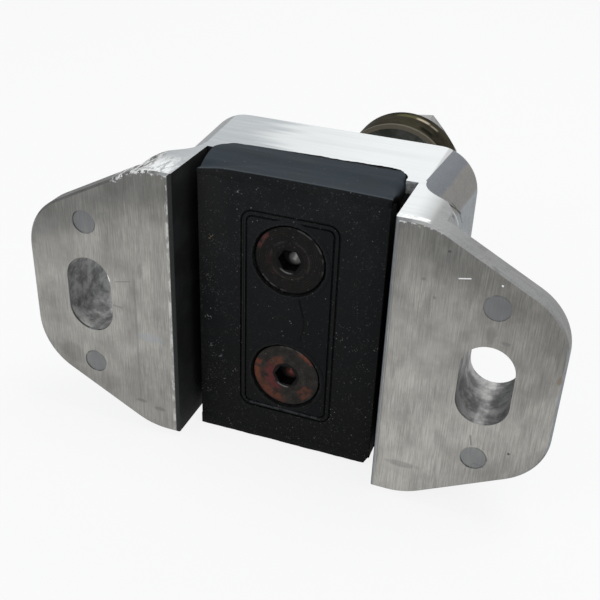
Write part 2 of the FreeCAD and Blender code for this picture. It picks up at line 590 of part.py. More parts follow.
# Front plate: rounded edges, a grooved panel and two countersinks
plate = new_body("front_plate", "front_plate")
plate_outline = new_sketch(plate, "plate_outline", "XZ_Plane", "plate_setback")
draw_rounded(plate_outline, "plate_width / 2", "plate_height / 2", "plate_corner")
grow(plate, "Pad", "plate_pad", plate_outline, "plate_thickness", True)
plate_y = number("plate_setback")
dress(plate, "Fillet", "plate_front_round", "Radius", "plate_edge", lambda p: near(p.y, plate_y))
panel = new_sketch(plate, "panel_groove", "XZ_Plane", "plate_setback")
for inset in ("0", "groove_width", "(groove_width + bead_width)", "(2 * groove_width + bead_width)"):
    draw_rounded(panel, "(panel_width / 2 - %s)" % inset, "(panel_height / 2 - %s)" % inset,
                 "(panel_radius - %s)" % inset)
grow(plate, "Pocket", "panel_groove_cut", panel, "groove_sink", False)
for name, z in SCREWS:
    bore(plate, "countersink_" + name, SCREW_HOLE, z)

# Screws: countersunk heads with hexagon sockets
for name, z in SCREWS:
    label = "screw_" + name
    cone_end = HEAD_TOP + " + head_rim + (head_diameter - screw_diameter) / 2"
    tip = HEAD_TOP + " + screw_length"
    screw = turned(label, [
        (HEAD_TOP, "0"), (HEAD_TOP, "head_diameter / 2"), (HEAD_TOP + " + head_rim", "head_diameter / 2"),
        (cone_end, "screw_diameter / 2"), (tip + " - 1", "screw_diameter / 2"),
        (tip, "screw_diameter / 2 - 1"), (tip, "0")], z)
    socket = new_sketch(screw, label + "_socket", "XZ_Plane", HEAD_TOP)
    hexagon = [("hex_key / 2 / cos(30) * cos(%d)" % a, "%s + hex_key / 2 / cos(30) * sin(%d)" % (z, a))
               for a in range(0, 360, 60)]
    draw_polygon(socket, hexagon)
    grow(screw, "Pocket", label + "_socket_cut", socket, "hex_sink", False)
    bore(screw, label + "_drill", [
        (HEAD_TOP, "0"), (HEAD_TOP, "(hex_key / 2 - 0.1)"), (HEAD_TOP + " + hex_sink", "(hex_key / 2 - 0.1)"),
        (HEAD_TOP + " + hex_sink + hex_key / 4", "0")], z)

# Stud: collar in the core, shank to the nut
NUT_FRONT = "(cup_front + cup_height)"
NUT_BACK = "(cup_front + cup_height + nut_height)"
stud = turned("stud", [
    (PLATE_BACK + " + seat_gap", "0"), (PLATE_BACK + " + seat_gap", "stud_collar / 2"),
    (PLATE_BACK + " + collar_depth", "stud_collar / 2"), (PLATE_BACK + " + collar_depth", "stud_diameter / 2"),
    (NUT_BACK + " + stud_tail - stud_chamfer", "stud_diameter / 2"),
    (NUT_BACK + " + stud_tail", "stud_diameter / 2 - stud_chamfer"), (NUT_BACK + " + stud_tail", "0")])

# Cup washer: pressed cup, open towards the housing
cup = turned("cup_washer", [
    ("cup_front", "cup_diameter / 2 - cup_sheet"), ("cup_front", "cup_diameter / 2"),
    (NUT_FRONT, "cup_diameter / 2"), (NUT_FRONT, "cup_hole / 2"),
    (NUT_FRONT + " - cup_sheet", "cup_hole / 2"), (NUT_FRONT + " - cup_sheet", "cup_diameter / 2 - cup_sheet")])
cup_back, cup_r = number(NUT_FRONT), number("cup_diameter / 2")
sheet_y, sheet_r = number(NUT_FRONT + " - cup_sheet"), number("cup_diameter / 2 - cup_sheet")
dress(cup, "Fillet", "cup_outer_bend", "Radius", "cup_radius",
      lambda p: near(p.y, cup_back) and near(math.hypot(p.x, p.z), cup_r))
dress(cup, "Fillet", "cup_inner_bend", "Radius", "cup_radius - cup_sheet",
      lambda p: near(p.y, sheet_y) and near(math.hypot(p.x, p.z), sheet_r))

# Nut: hexagon with both faces chamfered
nut = new_body("rear_nut", "rear_nut")
nut_outline = new_sketch(nut, "nut_outline", "XZ_Plane", NUT_FRONT)
draw_polygon(nut_outline, [("nut_key / 2 / cos(30) * cos(%d + nut_turn)" % a,
                            "nut_key / 2 / cos(30) * sin(%d + nut_turn)" % a) for a in range(0, 360, 60)])
grow(nut, "Pad", "nut_pad", nut_outline, "nut_height", True)
wide = "(nut_face / 2 + 4 * nut_chamfer)"
bore(nut, "nut_front_chamfer", [
    (NUT_FRONT, "nut_face / 2"), (NUT_FRONT, wide), (NUT_FRONT + " + 2 * nut_chamfer", wide)])
bore(nut, "nut_back_chamfer", [
    (NUT_BACK, "nut_face / 2"), (NUT_BACK + " - 2 * nut_chamfer", wide), (NUT_BACK, wide)])
bore(nut, "nut_bore", [
    (NUT_FRONT, "0"), (NUT_FRONT, "(stud_diameter / 2 + seat_gap)"),
    (NUT_BACK, "(stud_diameter / 2 + seat_gap)"), (NUT_BACK, "0")])

# Check every object, then write one file per sub-part
doc.removeObject(gauge.Name)
doc.recompute()
for thing in doc.Objects:
    if "Invalid" in thing.State or "Error" in thing.State:
        raise ValueError(thing.Name + " failed")
for body in doc.Objects:
    if body.TypeId != "PartDesign::Body":
        continue
    shape = body.Shape
    if shape.isNull() or not shape.isValid() or len(shape.Solids) != 1 or shape.Volume <= 0:
        raise ValueError(body.Label + " is not one sound solid")
    shape.exportStep("parts/%s.step" % body.Label)
    print(body.Label, round(shape.Volume), len(shape.Faces))
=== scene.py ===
import math
import random
import bmesh
import bpy
from mathutils import Matrix, Vector


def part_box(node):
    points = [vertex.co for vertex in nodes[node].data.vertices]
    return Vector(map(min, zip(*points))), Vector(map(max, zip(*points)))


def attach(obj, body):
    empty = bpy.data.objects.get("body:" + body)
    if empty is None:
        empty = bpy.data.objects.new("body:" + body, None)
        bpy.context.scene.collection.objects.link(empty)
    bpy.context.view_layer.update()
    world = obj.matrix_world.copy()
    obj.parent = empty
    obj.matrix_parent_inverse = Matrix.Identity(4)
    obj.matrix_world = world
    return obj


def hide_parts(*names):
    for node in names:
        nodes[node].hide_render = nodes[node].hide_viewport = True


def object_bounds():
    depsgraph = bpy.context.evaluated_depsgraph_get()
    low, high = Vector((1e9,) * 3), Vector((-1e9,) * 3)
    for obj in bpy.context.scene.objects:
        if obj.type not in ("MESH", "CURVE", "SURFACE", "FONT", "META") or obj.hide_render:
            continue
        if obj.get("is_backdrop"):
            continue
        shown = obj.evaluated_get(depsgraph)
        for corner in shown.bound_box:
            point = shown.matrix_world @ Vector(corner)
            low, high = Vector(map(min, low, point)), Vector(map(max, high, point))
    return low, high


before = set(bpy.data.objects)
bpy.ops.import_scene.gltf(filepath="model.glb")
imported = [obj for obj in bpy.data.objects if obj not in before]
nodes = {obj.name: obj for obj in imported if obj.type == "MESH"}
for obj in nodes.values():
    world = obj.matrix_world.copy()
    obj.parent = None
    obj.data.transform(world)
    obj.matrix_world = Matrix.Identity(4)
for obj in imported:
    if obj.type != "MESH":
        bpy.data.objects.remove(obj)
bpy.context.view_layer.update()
# Places and sizes on the mount are in millimetres of its own frame; lamps and camera are in metres.
MM = 0.001


# Material helpers

# Shares of a stroke's length and of a direction's width that are fully 1.
STROKE_CORE, TOWARD_CORE = 0.8, 0.4
# Least distance from an axis that a direction is worked out for.
AXIS_GAP = 0.1


class Graph:
    """A node material under construction, with a Principled shader at its end."""

    def __init__(self, name, specular=0.5, ior=1.5):
        self.material = bpy.data.materials.new(name)
        self.material.use_nodes = True
        self.tree = self.material.node_tree
        self.tree.nodes.clear()
        self.shader = self.add("ShaderNodeBsdfPrincipled")
        self.shader.inputs["Specular IOR Level"].default_value = specular
        self.shader.inputs["IOR"].default_value = ior
        out = self.add("ShaderNodeOutputMaterial")
        self.link(self.shader.outputs[0], out.inputs[0])
        coord = self.add("ShaderNodeTexCoord")
        self.place = coord.outputs["Object"]
        split = self.add("ShaderNodeSeparateXYZ")
        self.link(self.place, split.inputs[0])
        self.x, self.y, self.z = split.outputs
        geometry = self.add("ShaderNodeNewGeometry")
        facing = self.add("ShaderNodeSeparateXYZ")
        self.link(geometry.outputs["Normal"], facing.inputs[0])
        self.nx, self.ny, self.nz = facing.outputs

    def add(self, kind):
        return self.tree.nodes.new(kind)

    def link(self, a, b):
        self.tree.links.new(a, b)

    def feed(self, value, socket):
        """Gives a socket a node's output, a colour or a number."""
        if isinstance(value, bpy.types.NodeSocket):
            self.link(value, socket)
        elif isinstance(value, tuple):
            socket.default_value = (*value, 1)
        else:
            socket.default_value = value

    def math(self, op, a, b=0.0, c=0.0, clamp=False):
        node = self.add("ShaderNodeMath")
        node.operation = op
        node.use_clamp = clamp
        for value, socket in zip((a, b, c), node.inputs):
            self.feed(value, socket)
        return node.outputs[0]

    def noise(self, scale, detail, rough=0.55):
        """Noise with one scale, or with three that draw it out along an axis."""
        place = self.place
        if isinstance(scale, tuple):
            stretch = self.add("ShaderNodeMapping")
            self.link(place, stretch.inputs["Vector"])
            stretch.inputs["Scale"].default_value = scale
            place, scale = stretch.outputs[0], 1.0
        node = self.add("ShaderNodeTexNoise")
        self.link(place, node.inputs["Vector"])
        node.inputs["Scale"].default_value = scale
        node.inputs["Detail"].default_value = detail
        node.inputs["Roughness"].default_value = rough
        return node.outputs["Fac"]

    def cells(self, scale):
        """Distance to the nearest of many scattered points."""
        node = self.add("ShaderNodeTexVoronoi")
        self.link(self.place, node.inputs["Vector"])
        node.inputs["Scale"].default_value = scale
        return node.outputs["Distance"]

    def span(self, value, low, high, to_low=0.0, to_high=1.0, smooth=True):
        """Maps low..high to to_low..to_high, clamped."""
        node = self.add("ShaderNodeMapRange")
        node.interpolation_type = "SMOOTHSTEP" if smooth else "LINEAR"
        node.clamp = True
        self.feed(value, node.inputs[0])
        for number, socket in zip((low, high, to_low, to_high), node.inputs[1:5]):
            socket.default_value = number
        return node.outputs[0]

    def step(self, value, low, high, to_low=0.0, to_high=1.0):
        """Soft step between two places in millimetres."""
        return self.span(value, low * MM, high * MM, to_low, to_high)

    def band(self, value, low, high, soft):
        """1 between two places in millimetres, with soft ends."""
        return self.both(self.step(value, low - soft, low + soft),
                         self.step(value, high + soft, high - soft))

    def fray(self, value, noise, low, high, half):
        """A place pushed to and fro by up to half, in millimetres, by a noise between low and high."""
        return self.math("ADD", value, self.span(noise, low, high, -half * MM, half * MM, smooth=False))

    def mix(self, fac, a, b, blend="MIX"):
        """Mix of two colours."""
        node = self.add("ShaderNodeMix")
        node.data_type = "RGBA"
        node.blend_type = blend
        self.feed(fac, node.inputs[0])
        self.feed(a, node.inputs[6])
        self.feed(b, node.inputs[7])
        return node.outputs[2]

    def shade(self, color, tone, fac=1.0):
        """A colour multiplied by another, or by a number."""
        return self.mix(fac, color, tone, "MULTIPLY")

    def paint(self, color, mask, share, tone):
        """A colour with a tone laid over it, at a strength, where the mask is 1."""
        return self.mix(self.math("MULTIPLY", mask, share), color, tone)

    def blend(self, fac, a, b):
        """Mix of two numbers."""
        node = self.add("ShaderNodeMix")
        self.feed(fac, node.inputs[0])
        self.feed(a, node.inputs[2])
        self.feed(b, node.inputs[3])
        return node.outputs[0]

    def both(self, *masks):
        result = masks[0]
        for mask in masks[1:]:
            result = self.math("MULTIPLY", result, mask)
        return result

    def either(self, a, b):
        return self.math("MAXIMUM", a, b)

    def reach(self, a, b, at_a, at_b):
        """Distance from a line, given two coordinates and where it stands in them, in millimetres."""
        da = self.math("SUBTRACT", a, at_a * MM)
        db = self.math("SUBTRACT", b, at_b * MM)
        square = self.math("ADD", self.math("MULTIPLY", da, da), self.math("MULTIPLY", db, db))
        return self.math("SQRT", square)

    def spot(self, a, b, at_a, at_b, half_a, half_b, soft):
        """Soft oval of 1 about a place in two coordinates, in millimetres."""
        da = self.math("MULTIPLY", self.math("SUBTRACT", a, at_a * MM), 1 / (half_a * MM))
        db = self.math("MULTIPLY", self.math("SUBTRACT", b, at_b * MM), 1 / (half_b * MM))
        square = self.math("ADD", self.math("MULTIPLY", da, da), self.math("MULTIPLY", db, db))
        return self.span(square, 1.0, 1.0 - soft)

    def stroke(self, a, b, start, end, half_width, soft=0.6):
        """Soft straight line of 1 between two places in two coordinates, in millimetres."""
        run = Vector(end) - Vector(start)
        length = run.length
        along = run / length
        middle = (Vector(start) + Vector(end)) / 2
        u = self.math("MULTIPLY_ADD", b, along.y, -middle.dot(along) * MM)
        u = self.math("MULTIPLY_ADD", a, along.x, u)
        v = self.math("MULTIPLY_ADD", b, along.x, (middle.x * along.y - middle.y * along.x) * MM)
        v = self.math("MULTIPLY_ADD", a, -along.y, v)
        half = length / 2
        return self.both(self.step(self.math("ABSOLUTE", u), half, half * STROKE_CORE),
                         self.step(self.math("ABSOLUTE", v), half_width, half_width * (1 - soft)))

    def toward(self, a, b, r, degrees, width):
        """1 in one direction from an axis, falling to 0 at width degrees to each side."""
        turn = math.radians(degrees)
        share = self.math("MULTIPLY_ADD", a, math.cos(turn), self.math("MULTIPLY", b, math.sin(turn)))
        share = self.math("DIVIDE", share, self.math("MAXIMUM", r, AXIS_GAP * MM))
        core = width * TOWARD_CORE
        return self.span(share, math.cos(math.radians(width)), math.cos(math.radians(core)))

    def grit(self, specks, clouds):
        """Specks (scale, edge, core) that show only inside clouds (scale, detail, low, high)."""
        scale, edge, core = specks
        cloud_scale, detail, low, high = clouds
        where = self.span(self.noise(cloud_scale, detail), low, high)
        return self.both(self.span(self.cells(scale), edge, core), where)

    def bump(self, height, distance):
        """Relief of a height in millimetres."""
        node = self.add("ShaderNodeBump")
        node.inputs["Strength"].default_value = 1.0
        node.inputs["Distance"].default_value = distance * MM
        self.link(height, node.inputs["Height"])
        return node.outputs[0]

    def finish(self, color, rough, metal, normal):
        names = ("Base Color", "Roughness", "Metallic", "Normal")
        for value, name in zip((color, rough, metal, normal), names):
            self.feed(value, self.shader.inputs[name])
        return self.material


def dress(name, material):
    """Gives a CAD node one material."""
    obj = nodes[name]
    for slot in obj.material_slots:
        slot.material = material
    if not obj.material_slots:
        obj.data.materials.append(material)


# Cast aluminium: linished ends and mounting faces, cast sides, black bonded channel

# A pair of places is where an area begins and is fully there, or the two sides of a rim, a ring or a line.
# A slot's middle, half of its straight length and its wall.
SLOT_X, SLOT_STRAIGHT, SLOT_WALL = 57.95, 4.9, (7.5, 7.3)
# An ejector mark's middle, its disc and its rim, by distance from the middle.
MARK_X, MARK_Z = 58.0, 23.35
MARK_DISC, MARK_RIM = (3.65, 3.4), (3.35, 3.7)
# Depths of the mounting faces and of the ears, and the sides of the ears and of the cove behind them.
FACE_DEPTH, EAR_DEPTH = (1.2, 0.6), (16.2, 15.6)
EAR_SIDE, COVE_SIDE = (33, 36), (38, 40)
# The channel: its sides, its mouth and floor, the bevel along it and the burrs beside it.
CHANNEL_SIDE, CHANNEL_MOUTH, CHANNEL_FLOOR = (30.9, 30.6), (0.4, 1.0), (30, 29.5)
BEVEL_SIDE, BURR_LINE = (31.6, 31.2), (-32.2, -30.6)
# The ears' upper edge: its height, where it starts to slope, and its fall per millimetre outwards.
EAR_TOP, EAR_START, EAR_FALL = 42.5, 40, 0.528
GREY_LIGHT, GREY_DARK = (0.435, 0.424, 0.395), (0.245, 0.239, 0.223)
STAIN, SOOT = (0.16, 0.16, 0.155), (0.05, 0.05, 0.05)
BARE, POLISHED = (0.85, 0.86, 0.86), (0.93, 0.94, 0.94)
# Marks on the mounting faces: place, half sizes (x, z), strength, colour.
FACE_SPOTS = (
    (-38.8, -10.2, 5.6, 1.9, 0.4, (0.33, 0.36, 0.4)),
    (-43.0, -33.7, 2.3, 0.8, 0.6, STAIN),
    (-36.7, -35.2, 2.8, 0.9, 0.6, STAIN),
    (-65.6, -22.2, 4.6, 4.4, 0.35, STAIN),
    (-57.4, -22.4, 3.3, 5.2, 0.25, STAIN),
    (-40.9, 11.6, 0.9, 3.2, 0.5, STAIN),
    (39.0, 27.4, 0.7, 0.6, 0.6, STAIN),
    (44.6, 36.2, 0.6, 0.45, 0.6, SOOT),
    (42.3, 22.8, 0.6, 0.6, 0.6, STAIN),
    (57.4, 15.6, 1.6, 3.2, 0.4, STAIN),
    (61.3, 14.0, 1.6, 0.7, 0.6, STAIN),
    (66.9, -19.1, 0.45, 0.45, 0.9, SOOT),
    (58.3, 29.8, 0.35, 0.35, 0.9, BARE),
    (38.9, -31.8, 6.0, 1.3, 0.4, STAIN),
    (75.7, 6.9, 0.8, 1.7, 0.6, (0.2, 0.15, 0.1)),
)
# Scratches and lines on the mounting faces: start, end, half width, strength, colour.
FACE_STROKES = (
    ((-51.7, 27.7), (-51.3, 24.1), 0.3, 0.6, STAIN),
    ((-49.5, 6.2), (-44.0, 7.5), 0.22, 0.6, STAIN),
    ((-50.5, -1.7), (-47.2, -2.0), 0.3, 0.5, STAIN),
    ((-43.1, 14.6), (-43.1, -37.4), 0.5, 0.35, STAIN),
    ((47.4, 29.4), (50.8, 30.1), 0.22, 0.95, BARE),
    ((56.3, -15.9), (57.0, -19.5), 0.3, 0.7, STAIN),
    ((58.0, -25.1), (61.3, -25.7), 0.45, 0.55, STAIN),
    ((31.7, 39.0), (31.7, -39.0), 0.25, 0.6, STAIN),
    ((30.9, 39.0), (30.9, -39.0), 0.35, 0.45, BARE),
)
# Drag lines on the right flank beside the ear's root: start and end (y, z), half width, strength, colour.
SIDE_STROKES = (
    ((24.5, 37.5), (33.5, 31.0), 0.35, 0.85, (0.03, 0.03, 0.03)),
    ((27.0, 37.0), (36.0, 27.0), 0.3, 0.7, (0.04, 0.04, 0.04)),
    ((23.0, 36.5), (28.0, 30.0), 0.8, 0.5, (0.1, 0.085, 0.07)),
    ((25.5, 35.5), (32.0, 28.0), 0.5, 0.7, (0.55, 0.56, 0.57)),
)


class Casting(Graph):
    """Aluminium under construction, with the directions and patterns that its areas share."""

    def __init__(self, name):
        super().__init__(name, specular=0.25)
        self.ax, self.az, self.up = (self.math("ABSOLUTE", v) for v in (self.x, self.z, self.nz))
        self.right = self.step(self.x, -1, 1)
        self.fine = self.noise(1500, 5, 0.6)
        self.coarse = self.noise(260, 4, 0.55)
        self.clouds = self.noise(38, 5, 0.6)
        self.ragged = self.noise(420, 4, 0.65)
        self.frayed = self.fray(self.x, self.ragged, 0.2, 0.8, 3)
        self.strokes = self.noise((900, 330, 500), 5, 0.7)
        self.lines_x = self.noise((60, 2400, 900), 6, 0.65)
        self.lines_z = self.noise((3000, 900, 120), 6, 0.75)


def cast_sides(g):
    """Colours painted by how far a side faces up, as reflections of sky and ground: slate where the sides
    start to round over, darker on the right, brownish further down, lighter on the flanks.
    """
    sheen = g.math("ADD", g.up, g.span(g.clouds, 0.3, 0.7, -0.03, 0.03, smooth=False))
    slate = g.mix(g.right, (0.29, 0.3, 0.305), (0.172, 0.186, 0.202))
    cast = g.mix(g.span(sheen, 0.1, 0.2), (0.3, 0.32, 0.33), (0.23, 0.225, 0.213))
    cast = g.mix(g.span(sheen, 0.66, 0.72), cast, slate)
    cast = g.mix(g.span(g.coarse, 0.4, 0.75, 0.0, 0.3), cast, (0.15, 0.152, 0.155))
    cast = g.mix(g.span(g.clouds, 0.5, 0.8, 0.0, 0.3), cast, (0.32, 0.318, 0.31))
    cove = g.both(g.step(g.ax, *COVE_SIDE), g.band(g.y, 15, 24, 1.5), g.span(g.up, 0.6, 0.4))
    cast = g.paint(cast, g.both(cove, g.span(g.ragged, 0.48, 0.56)), 0.6, (0.12, 0.1, 0.085))
    for start, stop, half_width, share, tone in SIDE_STROKES:
        line = g.stroke(g.y, g.z, start, stop, half_width)
        cast = g.paint(cast, g.both(line, g.span(g.ragged, 0.36, 0.46), g.right), share, tone)
    return cast


def ear_slopes(g):
    """Sloping sides of the ears and tops of the gussets: lines along their length, painted shade that
    darkens the left ones, and scuffs on the left.
    """
    along = g.noise((90, 2300, 90), 5, 0.6)
    slope = g.mix(g.step(g.x, -20, 20), (0.27, 0.268, 0.26), (0.3, 0.303, 0.303))
    slope = g.mix(g.span(along, 0.35, 0.7, 0.0, 0.45), slope, (0.42, 0.42, 0.42))
    slope = g.mix(g.span(g.coarse, 0.5, 0.75, 0.0, 0.5), slope, (0.17, 0.17, 0.168))
    right_root = g.both(g.step(g.ax, 50, 40), g.step(g.x, -10, 10))
    slope = g.paint(slope, right_root, 0.6, (0.4, 0.405, 0.405))
    # Painted shade: the left slopes much darker than the right ones.
    slope = g.shade(slope, g.step(g.x, -20, 20, 0.36, 0.78))
    scuffed = g.both(g.band(g.frayed, -48, -36, 1.5), g.span(g.strokes, 0.46, 0.56), g.step(g.z, -1, 1))
    return g.paint(slope, scuffed, 0.75, (0.74, 0.75, 0.75))


def brushed_ends(g):
    """Ends brushed along X, with a painted reflection that is darker and bluish on the left and brighter to
    the right, and worn bright patches at the front edge.
    """
    wide = g.noise((14, 420, 200), 3, 0.5)
    veer = g.fray(g.x, wide, 0.3, 0.7, 7)
    # Painted reflection: darker and bluish on the left, brightening towards the right.
    bright = g.mix(g.step(veer, -22, -8), (0.33, 0.355, 0.372), (0.58, 0.605, 0.612))
    bright = g.mix(g.step(g.x, -10, 20, 0.0, 0.5), bright, (0.68, 0.7, 0.7))
    lighter = g.mix(0.55, bright, (0.8, 0.82, 0.83))
    bright = g.mix(g.span(g.lines_x, 0.35, 0.7, 0.0, 0.5), bright, lighter)
    bright = g.mix(g.span(wide, 0.5, 0.75, 0.0, 0.25), bright, (0.42, 0.44, 0.455))
    root = g.both(g.step(g.x, -29, -34), g.step(g.y, 26, 20))
    bright = g.paint(bright, root, 0.35, (0.32, 0.33, 0.335))
    # Painted shade on the top's right shoulder, by the ear's root.
    shoulder_shade = g.both(g.step(g.x, 33, 41), g.step(g.y, 27, 24))
    bright = g.paint(bright, shoulder_shade, 0.85, (0.26, 0.265, 0.265))
    margin = g.both(g.step(g.x, 31.8, 32.6), g.step(g.y, 25, 32))
    bright = g.paint(bright, margin, 0.8, (0.4, 0.41, 0.41))
    worn = g.both(g.band(g.frayed, -48, -32, 1.5), g.step(g.y, 15, 5))
    worn = g.both(worn, g.span(g.strokes, 0.4, 0.52), g.step(g.z, -1, 1))
    bright = g.paint(bright, worn, 0.7, POLISHED)
    lip = g.both(g.band(g.x, 31, 39, 0.5), g.band(g.y, 1.0, 2.6, 0.4), g.span(g.ragged, 0.42, 0.5))
    return g.paint(bright, lip, 0.9, POLISHED)


def mounting_faces(g):
    """Fine lines along Z, painted shade that darkens the faces towards their edges with a soft band at the
    top, stains, scratches and burrs beside the channel.
    """
    grey = g.mix(g.span(g.lines_z, 0.32, 0.68), GREY_DARK, GREY_LIGHT)
    grey = g.mix(g.span(g.noise((260, 200, 16), 3, 0.5), 0.5, 0.8, 0.0, 0.3), grey, GREY_DARK)
    grey = g.mix(g.span(g.noise(150, 5, 0.6), 0.3, 0.6, 0.5, 0.0), grey, GREY_DARK)
    grey = g.shade(grey, g.span(g.noise((95, 60, 50), 4, 0.6), 0.32, 0.68, 0.84, 1.1))
    grey = g.mix(g.span(g.clouds, 0.5, 0.8, 0.0, 0.45), grey, (0.41, 0.405, 0.39))
    # Painted shade: the left face darker towards its upper and lower edges, the right one towards its top
    # and its outer end.
    left_shade = g.step(g.az, 10, 40, 1.04, 0.96)
    right_shade = g.math("MULTIPLY", g.step(g.z, -18, 24, 1.13, 0.88), g.step(g.ax, 38, 70, 1.05, 0.94))
    grey = g.shade(grey, g.blend(g.right, left_shade, right_shade))

    # Painted shade: a dark band under the upper edge, fainter above the lower one.
    slope_z = g.math("MULTIPLY_ADD", g.ax, -EAR_FALL, (EAR_TOP + EAR_START * EAR_FALL) * MM)
    edge_z = g.math("MINIMUM", EAR_TOP * MM, slope_z)
    depth = g.math("SUBTRACT", g.z, edge_z)
    height = g.fray(depth, g.noise(110, 5, 0.65), 0.25, 0.75, 3)
    share = g.blend(g.right, 0.85, g.step(g.ax, 58, 44, 0.5, 0.8))
    grey = g.shade(grey, (0.5, 0.51, 0.52), g.both(g.step(height, -18, -4), share))
    low_depth = g.math("SUBTRACT", g.math("MULTIPLY", g.z, -1.0), edge_z)
    low_share = g.either(g.step(g.x, 1, -1, 0.0, 0.5), g.step(g.ax, 40, 56))
    grey = g.shade(grey, (0.85, 0.85, 0.86), g.both(g.step(low_depth, -11, -3), low_share))

    for x, z, half_x, half_z, share, tone in FACE_SPOTS:
        edge = g.fray(g.x, g.ragged, 0.2, 0.8, 0.4 * half_x)
        grey = g.paint(grey, g.spot(edge, g.z, x, z, half_x, half_z, 0.8), share, tone)
    for start, stop, half_width, share, tone in FACE_STROKES:
        grey = g.paint(grey, g.stroke(g.x, g.z, start, stop, half_width), share, tone)
    burr = g.both(g.band(g.x, *BURR_LINE, 0.3), g.span(g.noise((700, 200, 260), 4, 0.6), 0.47, 0.56))
    grey = g.paint(grey, burr, 0.7, (0.62, 0.62, 0.6))
    crest = g.fray(depth, g.noise(1300, 4, 0.7), 0.3, 0.7, 1.4)
    flecks = g.both(g.step(crest, -1.1, -0.7), g.span(g.ragged, 0.46, 0.56), g.band(g.x, -48, 45, 2))
    return g.paint(grey, flecks, 0.8, (0.72, 0.73, 0.73))


def aluminium():
    """The housing: each area has its own finish, chosen by where a face points and lies, with painted light
    and shade laid over some areas.
    """
    g = Casting("cast_aluminium")
    end = g.span(g.up, 0.97, 0.99)
    face = g.both(g.span(g.ny, -0.96, -0.99), g.step(g.y, *FACE_DEPTH))
    rim = g.both(g.step(g.y, *EAR_DEPTH), g.step(g.ax, *EAR_SIDE), g.span(g.up, 0.3, 0.45))
    color = g.mix(rim, cast_sides(g), ear_slopes(g))
    color = g.mix(end, color, brushed_ends(g))
    color = g.mix(face, color, mounting_faces(g))

    # Ejector marks: smooth discs with a thin broken rim.
    mark_r = g.reach(g.ax, g.az, MARK_X, MARK_Z)
    disc = g.both(face, g.step(mark_r, *MARK_DISC))
    ring = g.both(face, g.band(mark_r, *MARK_RIM, 0.15), g.span(g.noise(160, 3), 0.47, 0.58))
    color = g.paint(color, disc, 0.65, (0.15, 0.16, 0.172))
    color = g.paint(color, ring, 0.75, SOOT)

    # Walls of the slots: rough and mottled.
    over = g.math("MAXIMUM", g.math("SUBTRACT", g.az, SLOT_STRAIGHT * MM), 0.0)
    in_slot = g.both(g.step(g.reach(g.ax, over, SLOT_X, 0), *SLOT_WALL), g.step(g.y, 0.5, 0.9))
    bore = g.mix(g.span(g.noise(200, 5, 0.65), 0.35, 0.65), (0.13, 0.13, 0.13), (0.35, 0.35, 0.345))
    color = g.mix(in_slot, color, g.shade(bore, g.step(g.x, -20, 20, 1.6, 1.3)))

    # The channel's walls carry the rubber's black skin; the ledge by the right corner is bare.
    deep = g.both(g.step(g.y, *CHANNEL_MOUTH), g.step(g.y, *CHANNEL_FLOOR))
    inside = g.both(g.step(g.ax, *CHANNEL_SIDE), deep, g.span(g.up, 0.6, 0.4))
    black = g.mix(g.span(g.noise(120, 4), 0.4, 0.7), (0.004, 0.0045, 0.0045), (0.011, 0.012, 0.0125))
    ledge = g.both(g.step(g.x, 26, 27), g.step(g.y, 22.6, 22.9), g.step(g.z, 33, 38))
    ledge_tone = g.mix(g.span(g.ragged, 0.4, 0.6), (0.22, 0.22, 0.215), (0.6, 0.6, 0.6))
    color = g.mix(inside, color, g.mix(ledge, black, ledge_tone))
    bevel = g.both(g.step(g.ax, *BEVEL_SIDE), g.step(g.x, 10, -10), g.step(g.y, 1.1, 0.9))
    bevel = g.both(bevel, g.span(g.math("ABSOLUTE", g.nx), 0.3, 0.6), g.span(g.up, 0.6, 0.4))
    color = g.paint(color, bevel, 0.95, (0.028, 0.029, 0.029))

    rough = g.blend(end, g.span(g.fine, 0.3, 0.7, 0.5, 0.66), g.span(g.lines_x, 0.3, 0.7, 0.36, 0.5))
    rough = g.blend(face, rough, g.span(g.lines_z, 0.3, 0.7, 0.4, 0.55))
    rough = g.blend(inside, rough, 0.75)
    metal = g.math("SUBTRACT", 0.9, g.math("MULTIPLY", inside, 0.9), clamp=True)
    relief = g.blend(face, g.fine, g.math("MULTIPLY", g.lines_z, 0.35))
    relief = g.blend(end, relief, g.math("MULTIPLY", g.lines_x, 0.35))
    return g.finish(color, rough, metal, g.bump(relief, 0.12))


# Black plate and rubber

# Both screws stand on the plate's middle line, at this height above and below its middle.
SCREW_Z = 19
JET = (0.0006, 0.0006, 0.0007)
# The panel's side and end, the painted shade in the gap round each screw, and the painted highlight beside
# it.
PANEL_SIDE, PANEL_END = (12.8, 12.4), (31, 30)
GAP_SHADE_RING, GLEAM_RING = (9.4, 10.75), (10.95, 11.15)
# The panel's left groove, which lies in a paler bead, and the bead along the panel's lower edge.
GROOVE_LEFT = ((-13.35, 34.0), (-13.35, -34.0))
BEAD_LOW = ((-13.2, -31.2), (13.2, -31.2))
# Dust on the plate: place, half sizes (x, z), strength, colour.
PLATE_DUST = (
    (-23.5, 21.9, 1.5, 1.1, 0.9, (0.2, 0.16, 0.11)),
    (-15.4, 37.0, 0.9, 0.7, 0.9, (0.24, 0.24, 0.23)),
    (-24.1, 8.8, 1.1, 1.4, 0.8, (0.13, 0.13, 0.12)),
    (-21.1, 4.4, 0.9, 1.2, 0.7, (0.11, 0.11, 0.1)),
    (-24.5, -4.5, 1.3, 1.0, 0.9, (0.22, 0.22, 0.21)),
    (-23.8, -14.2, 1.0, 1.2, 0.7, (0.13, 0.13, 0.13)),
    (-20.7, -17.2, 0.9, 0.9, 0.7, (0.13, 0.13, 0.13)),
    (-24.7, -30.6, 1.1, 1.0, 0.7, (0.14, 0.14, 0.13)),
)
# The rubber's free ends, their torn rear edge and the lip along the plate.
FREE_TOP, REAR_EDGE, LIP_FRONT = (40, 41), (27.9, 28.2), (10.7, 9.7)
# A black curl in the panel, between the screws.
PLATE_CURL = ((3.3, 8.2), (5.0, 1.7), (5.1, -0.3), (4.7, -3.5), (3.8, -6.0))


